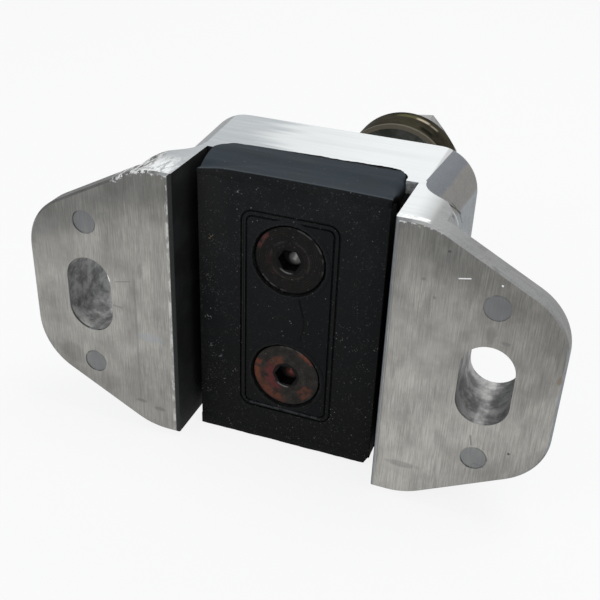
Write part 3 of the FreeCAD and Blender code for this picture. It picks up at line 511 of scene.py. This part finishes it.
def plate_black():
    """Near-black coating, a little lighter at the top, with dust and grit, and painted shade and highlights
    round the screws.
    """
    g = Graph("black_plate", specular=0.12)
    fine = g.noise(2200, 3, 0.6)
    coarse = g.noise(160, 5, 0.65)
    az = g.math("ABSOLUTE", g.z)
    base = g.mix(g.span(coarse, 0.3, 0.75), (0.004, 0.0045, 0.005), (0.009, 0.0096, 0.01))
    base = g.shade(base, g.span(g.z, -36 * MM, 34 * MM, 0.5, 1.45, smooth=False))
    corner = g.both(g.step(g.x, -14, -24), g.step(g.z, 2, 34))
    base = g.paint(base, corner, 0.5, (0.022, 0.0215, 0.021))
    panel = g.both(g.step(g.math("ABSOLUTE", g.x), *PANEL_SIDE), g.step(az, *PANEL_END))
    base = g.shade(base, (0.72, 0.76, 0.8), g.both(panel, g.step(g.x, -4, 8)))

    # Dust and grit, which lie thinner on the panel.
    open_share = g.math("MULTIPLY_ADD", panel, -0.6, 1.0)
    dust = g.both(g.span(g.noise(2600, 2, 0.5), 0.58, 0.72), g.span(coarse, 0.36, 0.62), open_share)
    base = g.paint(base, dust, 0.62, (0.055, 0.054, 0.052))
    powder = g.both(g.grit((1500, 0.3, 0.16), (700, 3, 0.52, 0.62)), open_share)
    base = g.paint(base, powder, 0.65, (0.09, 0.088, 0.082))
    base = g.paint(base, g.grit((800, 0.2, 0.08), (300, 2, 0.54, 0.64)), 0.75, (0.19, 0.19, 0.18))
    base = g.paint(base, g.grit((1100, 0.2, 0.12), (420, 2, 0.44, 0.36)), 0.9, (0.001, 0.001, 0.001))
    crumbs = g.span(g.noise(1300, 3, 0.6), 0.52, 0.6)
    for x, z, half_x, half_z, share, tone in PLATE_DUST:
        base = g.paint(base, g.both(g.spot(g.x, g.z, x, z, half_x, half_z, 0.9), crumbs), share, tone)

    # Lines: the curl, the groove and its bead, and round each screw painted shade in the gap and a painted
    # highlight beside it.
    for start, stop in zip(PLATE_CURL, PLATE_CURL[1:]):
        base = g.paint(base, g.stroke(g.x, g.z, start, stop, 0.42), 0.97, (0.0005, 0.0005, 0.0005))
    base = g.paint(base, g.stroke(g.x, g.z, *GROOVE_LEFT, 0.55), 0.7, (0.018, 0.0185, 0.019))
    base = g.paint(base, g.stroke(g.x, g.z, *GROOVE_LEFT, 0.2), 0.95, (0.0008, 0.0008, 0.0008))
    torn = g.fray(g.reach(g.x, az, 0, SCREW_Z), g.noise(700, 4, 0.6), 0.3, 0.7, 0.3)
    # Painted shade in the gap round each screw's head, and a painted highlight on the skin's edge beside
    # it.
    base = g.paint(base, g.band(torn, *GAP_SHADE_RING, 0.12), 0.97, JET)
    base = g.paint(base, g.band(torn, *GLEAM_RING, 0.12), 0.35, (0.03, 0.031, 0.032))
    bead = g.both(g.stroke(g.x, g.z, *BEAD_LOW, 0.55), g.span(g.noise(500, 3), 0.38, 0.52))
    base = g.paint(base, bead, 0.7, (0.05, 0.052, 0.055))

    rough = g.span(coarse, 0.3, 0.7, 0.7, 0.86)
    relief = g.math("ADD", fine, g.math("MULTIPLY", coarse, 1.5))
    return g.finish(base, rough, 0.0, g.bump(relief, 0.12))


def rubber_black():
    """Black sides, the upper free end painted bluish and streaked where it faces up as a reflection of the
    sky, and a painted highlight along the lip by the plate.
    """
    g = Graph("black_rubber", specular=0.05)
    coarse = g.noise(90, 4, 0.55)
    side = g.mix(g.span(coarse, 0.35, 0.7), (0.0045, 0.005, 0.0055), (0.011, 0.0115, 0.012))
    # Painted reflection of the sky: the upper free end lighter and bluish where it faces up.
    free = g.mix(g.span(coarse, 0.35, 0.7), (0.015, 0.022, 0.0285), (0.025, 0.034, 0.043))
    streaks = g.span(g.noise((30, 260, 1), 3, 0.5), 0.45, 0.7, 0.0, 0.5)
    free = g.mix(streaks, free, (0.036, 0.045, 0.053))
    top = g.both(g.span(g.nz, 0.3, 0.8), g.step(g.z, *FREE_TOP))
    base = g.mix(top, side, free)
    frayed = g.fray(g.y, g.noise(600, 3), 0.3, 0.7, 0.4)
    edge = g.both(g.step(frayed, *REAR_EDGE), g.step(g.x, -16, 4))
    base = g.paint(base, edge, 0.95, (0.004, 0.004, 0.005))
    # Painted highlight along the lip by the plate.
    lip = g.both(g.step(g.y, *LIP_FRONT), g.span(g.nz, 0.2, 0.5))
    base = g.paint(base, lip, 0.55, (0.07, 0.08, 0.087))
    base = g.paint(base, g.grit((600, 0.14, 0.06), (260, 2, 0.52, 0.62)), 0.6, (0.16, 0.17, 0.175))
    return g.finish(base, g.span(coarse, 0.3, 0.7, 0.5, 0.62), 0.0, g.bump(g.noise(1800, 3, 0.6), 0.05))


def torn_black():
    """Matt black of the torn skin along the rubber's rear edge."""
    g = Graph("torn_rubber", specular=0.0, ior=1.05)
    base = g.mix(g.span(g.noise(900, 3), 0.4, 0.7), (0.002, 0.0022, 0.0025), (0.012, 0.013, 0.0145))
    return g.finish(base, 0.9, 0.0, g.bump(g.noise(1800, 3), 0.1))


# Screws

DARK_STEEL = ((0.0022, 0.002, 0.0018), (0.0068, 0.0058, 0.0052))
GREY_STEEL = ((0.012, 0.0105, 0.009), (0.034, 0.029, 0.0245))
PINK_RUST, RED_RUST, ORANGE_RUST = (0.11, 0.04, 0.033), (0.105, 0.024, 0.024), (0.15, 0.045, 0.025)
# Rust on each head: direction in degrees, half width, inner and outer radius, strength, colour.
UPPER_RUST = (
    (148, 22, 8.8, 10.0, 0.65, PINK_RUST),
    (200, 40, 5.4, 7.0, 0.1, RED_RUST),
)
LOWER_RUST = (
    (200, 64, 3.6, 6.8, 0.85, RED_RUST),
    (200, 60, 3.8, 6.4, 0.7, RED_RUST),
    (125, 30, 4.2, 6.6, 0.6, ORANGE_RUST),
    (178, 34, 8.2, 10.0, 0.85, ORANGE_RUST),
    (205, 40, 6.4, 9.8, 0.25, ORANGE_RUST),
    (240, 36, 7.2, 9.8, 0.6, ORANGE_RUST),
    (52, 20, 8.8, 10.0, 0.85, ORANGE_RUST),
    (322, 22, 6.0, 9.2, 0.6, ORANGE_RUST),
)
# Bright stretches of each head's rim: direction and half width in degrees.
UPPER_RIMS, LOWER_RIMS = ((40, 70), (235, 35)), ((70, 40),)
# Light at the bottom of each socket.
WHITE_GLINT, RUSTY_GLINT = (0.95, 0.92, 0.88), (0.4, 0.13, 0.11)
# Spacing of the turning marks on a head, and two rings on it: a dirty collar and the rim.
TURNING_PITCH, COLLAR_RING, RIM_RING = 0.62, (5.4, 6.0), (9.5, 9.95)
# The socket: its wall and the depth of its bottom.
SOCKET_WALL, SOCKET_BOTTOM = (4.15, 3.95), (13.0, 13.4)
# The light crescent in it: direction and half width in degrees, ring, depth.
CRESCENT_SIDE, CRESCENT_RING, CRESCENT_DEPTH = (255, 34), (3.75, 4.15), (10.6, 10.3)


def screw_steel(name, axis_z, tones, rust, rims, glint):
    """A socket screw's head, turned, dirty and rusted, with painted shade and painted light in its socket.
    """
    g = Graph(name, specular=0.12)
    z = g.math("SUBTRACT", g.z, axis_z * MM)
    r = g.reach(g.x, g.z, 0, axis_z)
    rings = g.math("SINE", g.math("MULTIPLY", r, 2 * math.pi / (TURNING_PITCH * MM)))
    coarse = g.noise(420, 5, 0.65)
    base = g.mix(g.span(coarse, 0.35, 0.72), *tones)
    turned = g.both(g.span(rings, 0.3, 1.0), g.span(coarse, 0.4, 0.6))
    base = g.paint(base, turned, 0.16, (0.07, 0.065, 0.06))
    collar = g.both(g.band(r, *COLLAR_RING, 0.2), g.span(coarse, 0.42, 0.58))
    base = g.paint(base, collar, 0.4, (0.05, 0.045, 0.04))
    base = g.paint(base, g.grit((900, 0.22, 0.1), (500, 2, 0.55, 0.66)), 0.8, (0.12, 0.11, 0.1))
    base = g.paint(base, g.grit((1700, 0.3, 0.15), (800, 3, 0.5, 0.6)), 0.55, (0.062, 0.054, 0.048))
    ragged = g.span(g.noise(520, 5, 0.7), 0.36, 0.54)
    for degrees, width, inner, outer, share, tone in rust:
        patch = g.both(g.toward(g.x, z, r, degrees, width), g.band(r, inner, outer, 0.4), ragged)
        base = g.paint(base, patch, share, tone)
    for degrees, width in rims:
        line = g.both(g.toward(g.x, z, r, degrees, width), g.band(r, *RIM_RING, 0.1))
        base = g.paint(base, g.both(line, g.span(coarse, 0.45, 0.56)), 0.6, (0.1, 0.097, 0.093))

    # The socket: painted black as shade in and round it, with painted light on its bottom and a painted
    # light crescent on its lower wall.
    socket_reach = g.fray(r, g.noise(500, 3), 0.3, 0.7, 0.25)
    base = g.paint(base, g.step(socket_reach, *SOCKET_WALL), 0.96, (0.001, 0.001, 0.001))
    bottom = g.step(g.y, *SOCKET_BOTTOM)
    pool = g.spot(g.x, g.z, 0.3, axis_z - 0.9, 2.3, 2.0, 0.9)
    base = g.paint(base, g.both(bottom, pool), 0.3, glint)
    streak = g.stroke(g.x, g.z, (0.85, axis_z + 1.3), (-0.2, axis_z - 1.9), 0.85, 0.9)
    base = g.paint(base, g.both(bottom, streak), 0.8, glint)
    crescent = g.both(g.toward(g.x, z, r, *CRESCENT_SIDE), g.band(r, *CRESCENT_RING, 0.12))
    crescent = g.both(crescent, g.step(g.y, *CRESCENT_DEPTH))
    base = g.paint(base, g.both(crescent, g.span(coarse, 0.36, 0.48)), 0.75, (0.22, 0.21, 0.2))

    relief = g.math("ADD", g.noise(2600, 4, 0.6), coarse)
    relief = g.math("ADD", g.math("MULTIPLY", rings, 0.1), relief)
    return g.finish(base, g.span(coarse, 0.3, 0.7, 0.45, 0.7), 0.08, g.bump(relief, 0.12))


# Cup washer, nut and stud

# Light and shade on the cup's wall: direction and width in degrees, depths (y), softness, strength, colour.
CUP_GLINTS = (
    (84, 20, 132.0, 134.4, 0.9, 0.55, (0.17, 0.165, 0.075)),
    (72, 9, 132.0, 133.8, 0.6, 0.8, (0.6, 0.5, 0.38)),
    (59, 6, 131.8, 133.2, 0.6, 0.6, (0.45, 0.38, 0.3)),
    (63, 10, 124.5, 127.2, 0.8, 0.85, (0.006, 0.006, 0.004)),
)
# The cup's wall by radius and depth, its lip by both, and the bottom of its hollow by radius.
CUP_WALL, WALL_DEPTH = (20.0, 20.6), (122.6, 123.4)
CUP_LIP, LIP_DEPTH, CUP_BOTTOM = (18.6, 19.2), (123.2, 122.6), (19.0, 18.6)
NUT_TONES = ((0.17, 0.175, 0.17), (0.3, 0.305, 0.3))
STEEL_TONES = ((0.2, 0.2, 0.2), (0.36, 0.36, 0.36))
# The nut's side painted dark as shade: direction round the axis and width, in degrees.
NUT_SHADE = (30, 24)


def olive_zinc():
    """The cup: dark olive outside with a few painted glints, paler and mottled in its hollow."""
    g = Graph("olive_zinc", specular=0.01, ior=1.1)
    r = g.reach(g.x, g.z, 0, 0)
    clouds = g.noise(110, 4, 0.6)
    base = g.mix(g.span(clouds, 0.3, 0.7), (0.02, 0.018, 0.011), (0.052, 0.047, 0.031))
    base = g.mix(g.span(g.noise(60, 3), 0.5, 0.75, 0.0, 0.5), base, (0.032, 0.033, 0.026))
    wall = g.both(g.step(r, *CUP_WALL), g.step(g.y, *WALL_DEPTH))
    # Painted highlights on the wall, and one painted patch of shade.
    for degrees, width, near, far, soft, share, tone in CUP_GLINTS:
        glint = g.both(wall, g.band(g.y, near, far, soft), g.toward(g.x, g.z, r, degrees, width))
        base = g.paint(base, glint, share, tone)
    inward = g.math("MULTIPLY_ADD", g.nx, g.x, g.math("MULTIPLY", g.nz, g.z))
    bottom = g.both(g.span(g.ny, -0.5, -0.8), g.step(r, *CUP_BOTTOM))
    hollow = g.either(g.step(inward, 0, -1), bottom)
    hollow_tone = g.mix(g.span(g.noise(170, 4, 0.6), 0.35, 0.65), (0.17, 0.185, 0.155), (0.34, 0.34, 0.31))
    base = g.paint(base, hollow, 0.95, hollow_tone)
    lip = g.both(g.step(g.y, *LIP_DEPTH), g.step(r, *CUP_LIP))
    base = g.paint(base, lip, 0.65, (0.2, 0.175, 0.135))
    relief = g.math("ADD", clouds, g.math("MULTIPLY", g.noise(1800, 3, 0.6), 0.3))
    return g.finish(base, g.span(clouds, 0.3, 0.7, 0.3, 0.46), 0.02, g.bump(relief, 0.15))


def plain_zinc(name, tones, shaded=None):
    """Plated steel; shaded is the direction round the axis and the width, in degrees, of a side painted
    dark as shade.
    """
    g = Graph(name)
    clouds = g.noise(150, 4, 0.6)
    lines = g.noise((900, 140, 900), 4, 0.6)
    base = g.mix(g.span(clouds, 0.3, 0.7), *tones)
    base = g.mix(g.span(lines, 0.45, 0.75, 0.0, 0.4), base, (0.55, 0.55, 0.53))
    # Painted shade on one side, where it is asked for.
    if shaded:
        r = g.reach(g.x, g.z, 0, 0)
        base = g.paint(base, g.toward(g.x, g.z, r, *shaded), 0.95, (0.01, 0.01, 0.008))
    relief = g.math("ADD", clouds, g.math("MULTIPLY", lines, 0.3))
    return g.finish(base, g.span(clouds, 0.3, 0.7, 0.3, 0.46), 0.9, g.bump(relief, 0.12))


PLATE = plate_black()
RUBBER = rubber_black()
TORN = torn_black()
dress("housing", aluminium())
dress("front_plate", PLATE)
dress("rubber_block", RUBBER)
dress("screw_upper", screw_steel("dark_screw", SCREW_Z, DARK_STEEL, UPPER_RUST, UPPER_RIMS, WHITE_GLINT))
dress("screw_lower", screw_steel("rusty_screw", -SCREW_Z, GREY_STEEL, LOWER_RUST, LOWER_RIMS, RUSTY_GLINT))
dress("cup_washer", olive_zinc())
dress("rear_nut", plain_zinc("nut_zinc", NUT_TONES, NUT_SHADE))
dress("stud", plain_zinc("stud_steel", STEEL_TONES))
dress("core_block", plain_zinc("core_steel", STEEL_TONES))


# Rubber's soft forms: the block with its free ends, the lap under the plate, the lips round the screws

def keep(mesh, name, material):
    """Puts a finished bmesh into the scene as a smooth piece of the mount."""
    bmesh.ops.recalc_face_normals(mesh, faces=mesh.faces)
    data = bpy.data.meshes.new(name)
    mesh.to_mesh(data)
    mesh.free()
    for face in data.polygons:
        face.use_smooth = True
    piece = bpy.data.objects.new(name, data)
    bpy.context.scene.collection.objects.link(piece)
    data.materials.append(material)
    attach(piece, "root")
    return piece


def skin(mesh, rows, closed=False):
    """Faces between rows of vertices, each row a list of the same length."""
    for row, after in zip(rows, rows[1:] + rows[:1] if closed else rows[1:]):
        for i in range(len(row) - 1):
            mesh.faces.new((row[i], row[i + 1], after[i + 1], after[i]))


def ring_of(mesh, places):
    """A closed row of vertices, which repeats its first one."""
    row = [mesh.verts.new([v * MM for v in place]) for place in places]
    return row + row[:1]


def tube(mesh, outlines):
    """Rings through outlines, with a skin between them and a face over each end."""
    rings = [ring_of(mesh, outline) for outline in outlines]
    skin(mesh, rings)
    mesh.faces.new(rings[0][:-1])
    mesh.faces.new(rings[-1][:-1])


def smooth_route(route, steps):
    """Points on a Catmull-Rom curve through a route in two coordinates."""
    points = [Vector(p) for p in route]
    ends = [points[0] * 2 - points[1]] + points + [points[-1] * 2 - points[-2]]
    result = []
    for a, b, c, d in zip(ends, ends[1:], ends[2:], ends[3:]):
        for i in range(steps):
            t = i / steps
            result.append(0.5 * (2 * b + (c - a) * t + (2 * a - 5 * b + 4 * c - d) * t ** 2
                                 + (3 * b - a - 3 * c + d) * t ** 3))
    result.append(points[-1])
    return result


def ramp(value, low, high):
    """Smooth step from 0 at low to 1 at high, which may be the smaller of the two."""
    share = min(max((value - low) / (high - low), 0.0), 1.0)
    return share * share * (3 - 2 * share)


def rounding(steps):
    """Shares of the radius along a rounded edge, across it and down from its top."""
    turns = [math.radians(90 * k / steps) for k in range(steps + 1)]
    return [(1 - math.cos(turn), 1 - math.sin(turn)) for turn in turns]


# The block between its free ends, in millimetres: half of its outline, and its half height.
BLOCK_HALF = (
    (27.0, 15.6), (28.7, 20.6), (28.7, 22.7), (26.8, 22.7), (26.8, 25.4), (26.0, 27.2), (24.0, 28.3),
)
BLOCK_TOP = 39.0
# A free end's outline round the back, from the plate's right to its left, and its straight front.
END_ROUTE = (
    (27.1, 12.0), (27.5, 16.0), (27.5, 21.0), (26.8, 24.0), (25.6, 27.0), (23.4, 29.1), (19.7, 29.7),
    (11.5, 29.3), (1.6, 29.2), (-9.3, 28.8), (-20.3, 28.4), (-26.2, 26.6), (-28.4, 24.0), (-28.8, 21.5),
    (-28.3, 17.4), (-27.4, 13.6), (-26.7, 10.8),
)
END_STEPS = 12
FRONT_HALF, FRONT_STEPS = 27.2, 36
# How far a free end's front stands behind the plate's, at the top and at the bottom.
UPPER_FRONT, LOWER_FRONT = -0.05, 0.4
# Heights: along the plate, how much that is crowned and dips at its left corner, and along the back.
LIP_CREST, LIP_CROWN, LIP_CORNER, REAR_CREST = 42.8, 0.35, 0.9, 42.66
# Half of the width that the crown spans.
LIP_HALF = 28
# The hollow between them: its depth, and its middle and half width as depths behind the mounting plane.
END_DIP, DIP_MIDDLE, DIP_HALF = 0.25, 17, 5.5
# How much the lower end's right side stands back.
LOW_CORNER = 1.3
# Radius of an end's edge at the back, what the plate's edge adds to it, and what each flank adds.
REAR_ROLL, FRONT_ROLL, RIGHT_ROLL, LEFT_ROLL = 0.14, 0.14, 2.2, 0.8
# Heights where a free end's skin starts, near the plate and in the pocket, and where the pocket begins.
CAP_FOOT, POCKET_FOOT, POCKET_START = 40.0, 36.0, 15
ROLL_STEPS = 5
# The middle of a free end, and the rings that close it, as shares of its outline.
END_MIDDLE = Vector((0, 20))
CAP_SHARES = (0.93, 0.85, 0.5, 0.15)
PAD_SEED = 3
# The torn rear edge: its waver, and the depth and the left side where the torn skin begins.
TORN_WAVER, TORN_DEPTH, TORN_LEFT = 0.26, 28.55, -6
TORN_SCATTER = (-0.25, 0.2)
# Faces that look forward and lie before this depth have the plate's coating.
COATED_DEPTH = 11


def end_height(x, y, sign):
    """Height of a free end: crowned along the plate's edge, level at the back, faintly hollow between."""
    corner = LOW_CORNER * ramp(x, 22, 27.2) if sign < 0 else 0.0
    lip = LIP_CREST - LIP_CROWN * (x / LIP_HALF) ** 2 - LIP_CORNER * ramp(-x, 19, 27.5) * ramp(y, 15, 10)
    hollow = max(0.0, 1 - ((y - DIP_MIDDLE) / DIP_HALF) ** 2) * ramp(x, -27, -18)
    return lip + (REAR_CREST - lip) * ramp(y, 10, 25) - END_DIP * hollow - corner


def end_roll(x, y):
    """Radius of a free end's edge: small at the plate and the back, full at the right flank."""
    right = RIGHT_ROLL * ramp(y, 11, 17) * ramp(y, 26.5, 22) * ramp(x, 15, 27)
    left = LEFT_ROLL * ramp(y, 11, 15) * ramp(y, 24, 20) * ramp(-x, 15, 27)
    return REAR_ROLL + FRONT_ROLL * ramp(y, 12, 10) + right + left


def end_outline(sign, rng):
    """A free end's outline: straight along the plate, torn and wavy along the back."""
    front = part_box("front_plate")[0].y / MM + (UPPER_FRONT if sign > 0 else LOWER_FRONT)
    back = smooth_route(END_ROUTE, END_STEPS)
    waver = 0.0
    for i in range(1, len(back) - 1):
        waver = 0.55 * waver + rng.uniform(-TORN_WAVER, TORN_WAVER)
        out = (back[i] - END_MIDDLE).normalized()
        torn = ramp(back[i].y, 27.5, 28.5) * (0.35 + 0.65 * ramp(back[i].x, -12, 12))
        back[i] = back[i] + out * (waver * torn)
    straight = [Vector((FRONT_HALF * (2 * i / FRONT_STEPS - 1), front)) for i in range(FRONT_STEPS + 1)]
    return straight[-1:] + back + straight[:-1]


def rubber_end(mesh, sign, rng):
    """One free end, which laps over the plate's edge and, as a ragged skin, over the rim of the pocket."""
    outline = end_outline(sign, rng)
    roll_rows = [[] for _ in range(ROLL_STEPS + 1)]
    cap_rows = [[] for _ in CAP_SHARES]
    foot = []
    for i, place in enumerate(outline):
        ahead = (outline[(i + 1) % len(outline)] - outline[i - 1]).normalized()
        out = Vector((ahead.y, -ahead.x))
        if out.dot(place - END_MIDDLE) < 0:
            out = -out
        roll = end_roll(place.x, place.y)
        crest = end_height(place.x, place.y, sign)
        foot_z = CAP_FOOT if place.y < POCKET_START else POCKET_FOOT
        foot.append((place.x, place.y, sign * foot_z))
        for row, (across, down) in zip(roll_rows, rounding(ROLL_STEPS)):
            inner = place - out * roll * across
            row.append((inner.x, inner.y, sign * (crest - roll * down)))
        inner = place - out * roll
        for row, share in zip(cap_rows, CAP_SHARES):
            q = END_MIDDLE + (inner - END_MIDDLE) * share
            row.append((q.x, q.y, sign * end_height(q.x, q.y, sign)))
    tube(mesh, [foot] + roll_rows + cap_rows)


def rubber_pad():
    """The bonded block: straight sides in the channel and the pocket, and its two free ends."""
    rng = random.Random(PAD_SEED)
    mesh = bmesh.new()
    outline = BLOCK_HALF + tuple((-x, y) for x, y in reversed(BLOCK_HALF))
    tube(mesh, [[(x, y, z) for x, y in outline] for z in (-BLOCK_TOP, 0.0, BLOCK_TOP)])
    for sign in (1, -1):
        rubber_end(mesh, sign, rng)
    piece = keep(mesh, "rubber_pad", RUBBER)
    piece.data.materials.append(PLATE)
    piece.data.materials.append(TORN)
    for face in piece.data.polygons:
        x, y, z = face.center / MM
        torn_from = TORN_DEPTH + rng.uniform(*TORN_SCATTER)
        if face.normal.y < -0.7 and y < COATED_DEPTH:
            face.material_index = 1
        elif y > torn_from and x > TORN_LEFT and z > BLOCK_TOP:
            face.material_index = 2
    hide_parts("rubber_block")


# The lap, in millimetres: how far it hangs down at its left and its right end.
LAP_DROP_LEFT, LAP_DROP_RIGHT = 3.5, 2.85
# How much shorter its right end is at the bottom, and the share of its length where that begins.
LAP_SHORT, LAP_SHORT_FROM = 1.75, 0.88
# How far it reaches before the plate, up over the plate's lower edge and back behind the plate.
LAP_PROUD, LAP_UP, LAP_BACK = 0.06, 0.5, 0.4
# The radius and steps of its rounded front edge, and the bevel at its back.
LAP_EDGE, LAP_EDGE_STEPS, LAP_BEVEL = 0.7, 6, 0.3
LAP_WAVER, LAP_STEPS, LAP_SEED = 0.05, 60, 11


def low_lap():
    """Rubber under the plate's lower edge: a straight bar with a rounded, slightly wavy front edge."""
    low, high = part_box("front_plate")
    rng = random.Random(LAP_SEED)
    mesh = bmesh.new()
    rows = []
    waver = 0.0
    for i in range(LAP_STEPS + 1):
        share = i / LAP_STEPS
        x = low.x + (high.x - low.x) * share
        lean = LAP_SHORT * MM * ramp(share, LAP_SHORT_FROM, 1.0)
        waver = 0.7 * waver + rng.uniform(-LAP_WAVER, LAP_WAVER)
        drop = LAP_DROP_LEFT + (LAP_DROP_RIGHT - LAP_DROP_LEFT) * share + waver
        top, bottom = low.z + LAP_UP * MM, low.z - drop * MM
        front, rear = low.y - LAP_PROUD * MM, high.y + LAP_BACK * MM
        ring = [(front + 0.05 * MM, top), (front, top - 0.25 * MM)]
        for across, down in rounding(LAP_EDGE_STEPS):
            ring.append((front + LAP_EDGE * MM * across, bottom + LAP_EDGE * MM * down))
        ring += [(rear - LAP_BEVEL * MM, bottom), (rear, bottom + LAP_BEVEL * MM), (rear, top)]
        rows.append([mesh.verts.new((x - lean * (top - z) / (top - bottom), y, z)) for y, z in ring])
    skin(mesh, rows)
    for row, after in zip(rows, rows[1:]):
        mesh.faces.new((row[-1], row[0], after[0], after[-1]))
    mesh.faces.new(rows[0])
    mesh.faces.new(rows[-1])
    keep(mesh, "lower_lap", PLATE)


# Skin round a countersink: radius and depth behind the plate's front, from its outer edge over the lip.
LIP_PROFILE = (
    (12.2, 0.03), (11.9, -0.06), (11.3, -0.12), (10.95, -0.14),
    (10.7, -0.04), (10.6, 0.25), (10.8, 0.45), (11.7, 0.45),
)
LIP_STEPS, LIP_WAVER = 120, 0.13
# Radii between which the waver grows to its full size, and the least and the spread of the lip's height.
WAVER_START, WAVER_FULL = 11.7, 10.9
LEAST_PROUD, PROUD_SPREAD = 0.8, 0.5


def screw_lip(name, axis_z, seed):
    """Ragged lip of rubber skin that reaches over a countersink towards the screw's head."""
    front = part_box("front_plate")[0].y / MM
    rng = random.Random(seed)
    mesh = bmesh.new()
    rows = []
    waver = 0.0
    for i in range(LIP_STEPS):
        turn = 2 * math.pi * i / LIP_STEPS
        waver = 0.6 * waver + rng.uniform(-LIP_WAVER, LIP_WAVER)
        proud = LEAST_PROUD + PROUD_SPREAD * rng.random()
        places = []
        for radius, depth in LIP_PROFILE:
            r = radius + waver * ramp(radius, WAVER_START, WAVER_FULL)
            y = front + (depth * proud if depth < 0 else depth)
            places.append((r * math.cos(turn), y, axis_z + r * math.sin(turn)))
        rows.append(ring_of(mesh, places))
    skin(mesh, rows, closed=True)
    keep(mesh, name, PLATE)


rubber_pad()
low_lap()
screw_lip("upper_lip", SCREW_Z, seed=21)
screw_lip("lower_lip", -SCREW_Z, seed=22)


# Floor, light and camera

FLOOR_SIZE, FLOOR_GAP = 6, 0.1 * MM
FLOOR_TONE, FLOOR_GLOW = (0.8, 0.8, 0.8, 1), 0.85
WHITE, SKY = (1, 1, 1, 1), (0.92, 0.96, 1, 1)
SKY_POWER = 0.55
# Round lamps: name, place, size, power, colour. Each points at the same place.
LAMPS = (
    ("key", (-0.1, 0.64, 0.4), 0.6, 0.35, (1, 0.99, 0.97)),
    ("top", (0.25, 0.1, 0.85), 0.5, 3.0, (1, 1, 1)),
    ("fill", (-0.5, -0.6, 0.5), 0.5, 1.5, (0.96, 0.98, 1)),
)
LAMP_TARGET = (0, 0.03, 0)
# The photograph's camera: its place, the directions of its right, its top and its back, its lens.
CAMERA_PLACE = (0.077109, -0.199338, 0.137530)
CAMERA_RIGHT = (0.935670, 0.351115, 0.035208)
CAMERA_UP = (-0.206196, 0.463046, 0.862016)
CAMERA_BACK = (0.286364, -0.813823, 0.505657)
SENSOR_WIDTH, CAMERA_LENS = 36, 55.642
CLIP_START = 0.01


def seen_or_mirrored(tree):
    """1 for rays from the camera, reflected or let through, which meet the pale ground; 0 for the rest."""
    path = tree.nodes.new("ShaderNodeLightPath")
    result = path.outputs["Is Camera Ray"]
    for kind in ("Is Glossy Ray", "Is Transmission Ray"):
        either = tree.nodes.new("ShaderNodeMath")
        either.operation = "MAXIMUM"
        tree.links.new(result, either.inputs[0])
        tree.links.new(path.outputs[kind], either.inputs[1])
        result = either.outputs[0]
    return result


def mix_to(tree, share, first, second, out):
    """Mixes two shaders into an output node."""
    mix = tree.nodes.new("ShaderNodeMixShader")
    for source, socket in zip((share, first.outputs[0], second.outputs[0]), mix.inputs):
        tree.links.new(source, socket)
    tree.links.new(mix.outputs[0], out.inputs[0])


def pale_stage(floor_z):
    """A large pale floor just under the mount, which mostly glows where it is seen."""
    bpy.ops.mesh.primitive_plane_add(size=FLOOR_SIZE, location=(0, 0, floor_z - FLOOR_GAP))
    floor = bpy.context.object
    floor.name = "floor"
    material = bpy.data.materials.new("pale_floor")
    material.use_nodes = True
    tree = material.node_tree
    tree.nodes.clear()
    out = tree.nodes.new("ShaderNodeOutputMaterial")
    matte = tree.nodes.new("ShaderNodeBsdfDiffuse")
    matte.inputs["Color"].default_value = FLOOR_TONE
    glow = tree.nodes.new("ShaderNodeEmission")
    glow.inputs["Color"].default_value = WHITE
    share = tree.nodes.new("ShaderNodeMath")
    share.operation = "MULTIPLY"
    share.inputs[1].default_value = FLOOR_GLOW
    tree.links.new(seen_or_mirrored(tree), share.inputs[0])
    mix_to(tree, share.outputs[0], matte, glow, out)
    floor.data.materials.append(material)
    floor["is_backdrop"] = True


def pale_world():
    """White where it is seen, and a soft bluish light on the mount."""
    world = bpy.data.worlds.new("studio")
    bpy.context.scene.world = world
    world.use_nodes = True
    tree = world.node_tree
    tree.nodes.clear()
    out = tree.nodes.new("ShaderNodeOutputWorld")
    light = tree.nodes.new("ShaderNodeBackground")
    light.inputs["Color"].default_value = SKY
    light.inputs["Strength"].default_value = SKY_POWER
    seen = tree.nodes.new("ShaderNodeBackground")
    seen.inputs["Color"].default_value = WHITE
    seen.inputs["Strength"].default_value = 1.0
    mix_to(tree, seen_or_mirrored(tree), light, seen, out)


def lamp(name, place, size, power, color):
    """A round area lamp that points at the lamps' target."""
    data = bpy.data.lights.new(name, "AREA")
    data.shape = "DISK"
    data.size = size
    data.energy = power
    data.color = color
    obj = bpy.data.objects.new(name, data)
    bpy.context.scene.collection.objects.link(obj)
    obj.location = place
    obj.rotation_euler = (Vector(LAMP_TARGET) - Vector(place)).to_track_quat("-Z", "Y").to_euler()


def camera():
    """The photograph's camera, without shift or depth of field."""
    data = bpy.data.cameras.new("camera")
    data.sensor_width = SENSOR_WIDTH
    data.lens = CAMERA_LENS
    data.clip_start = CLIP_START
    obj = bpy.data.objects.new("camera", data)
    bpy.context.scene.collection.objects.link(obj)
    turn = Matrix((CAMERA_RIGHT, CAMERA_UP, CAMERA_BACK)).transposed().to_4x4()
    obj.matrix_world = Matrix.Translation(CAMERA_PLACE) @ turn
    bpy.context.scene.camera = obj


pale_stage(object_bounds()[0].z)
pale_world()
for settings in LAMPS:
    lamp(*settings)
camera()

scene = bpy.context.scene
scene.view_settings.view_transform = "Standard"
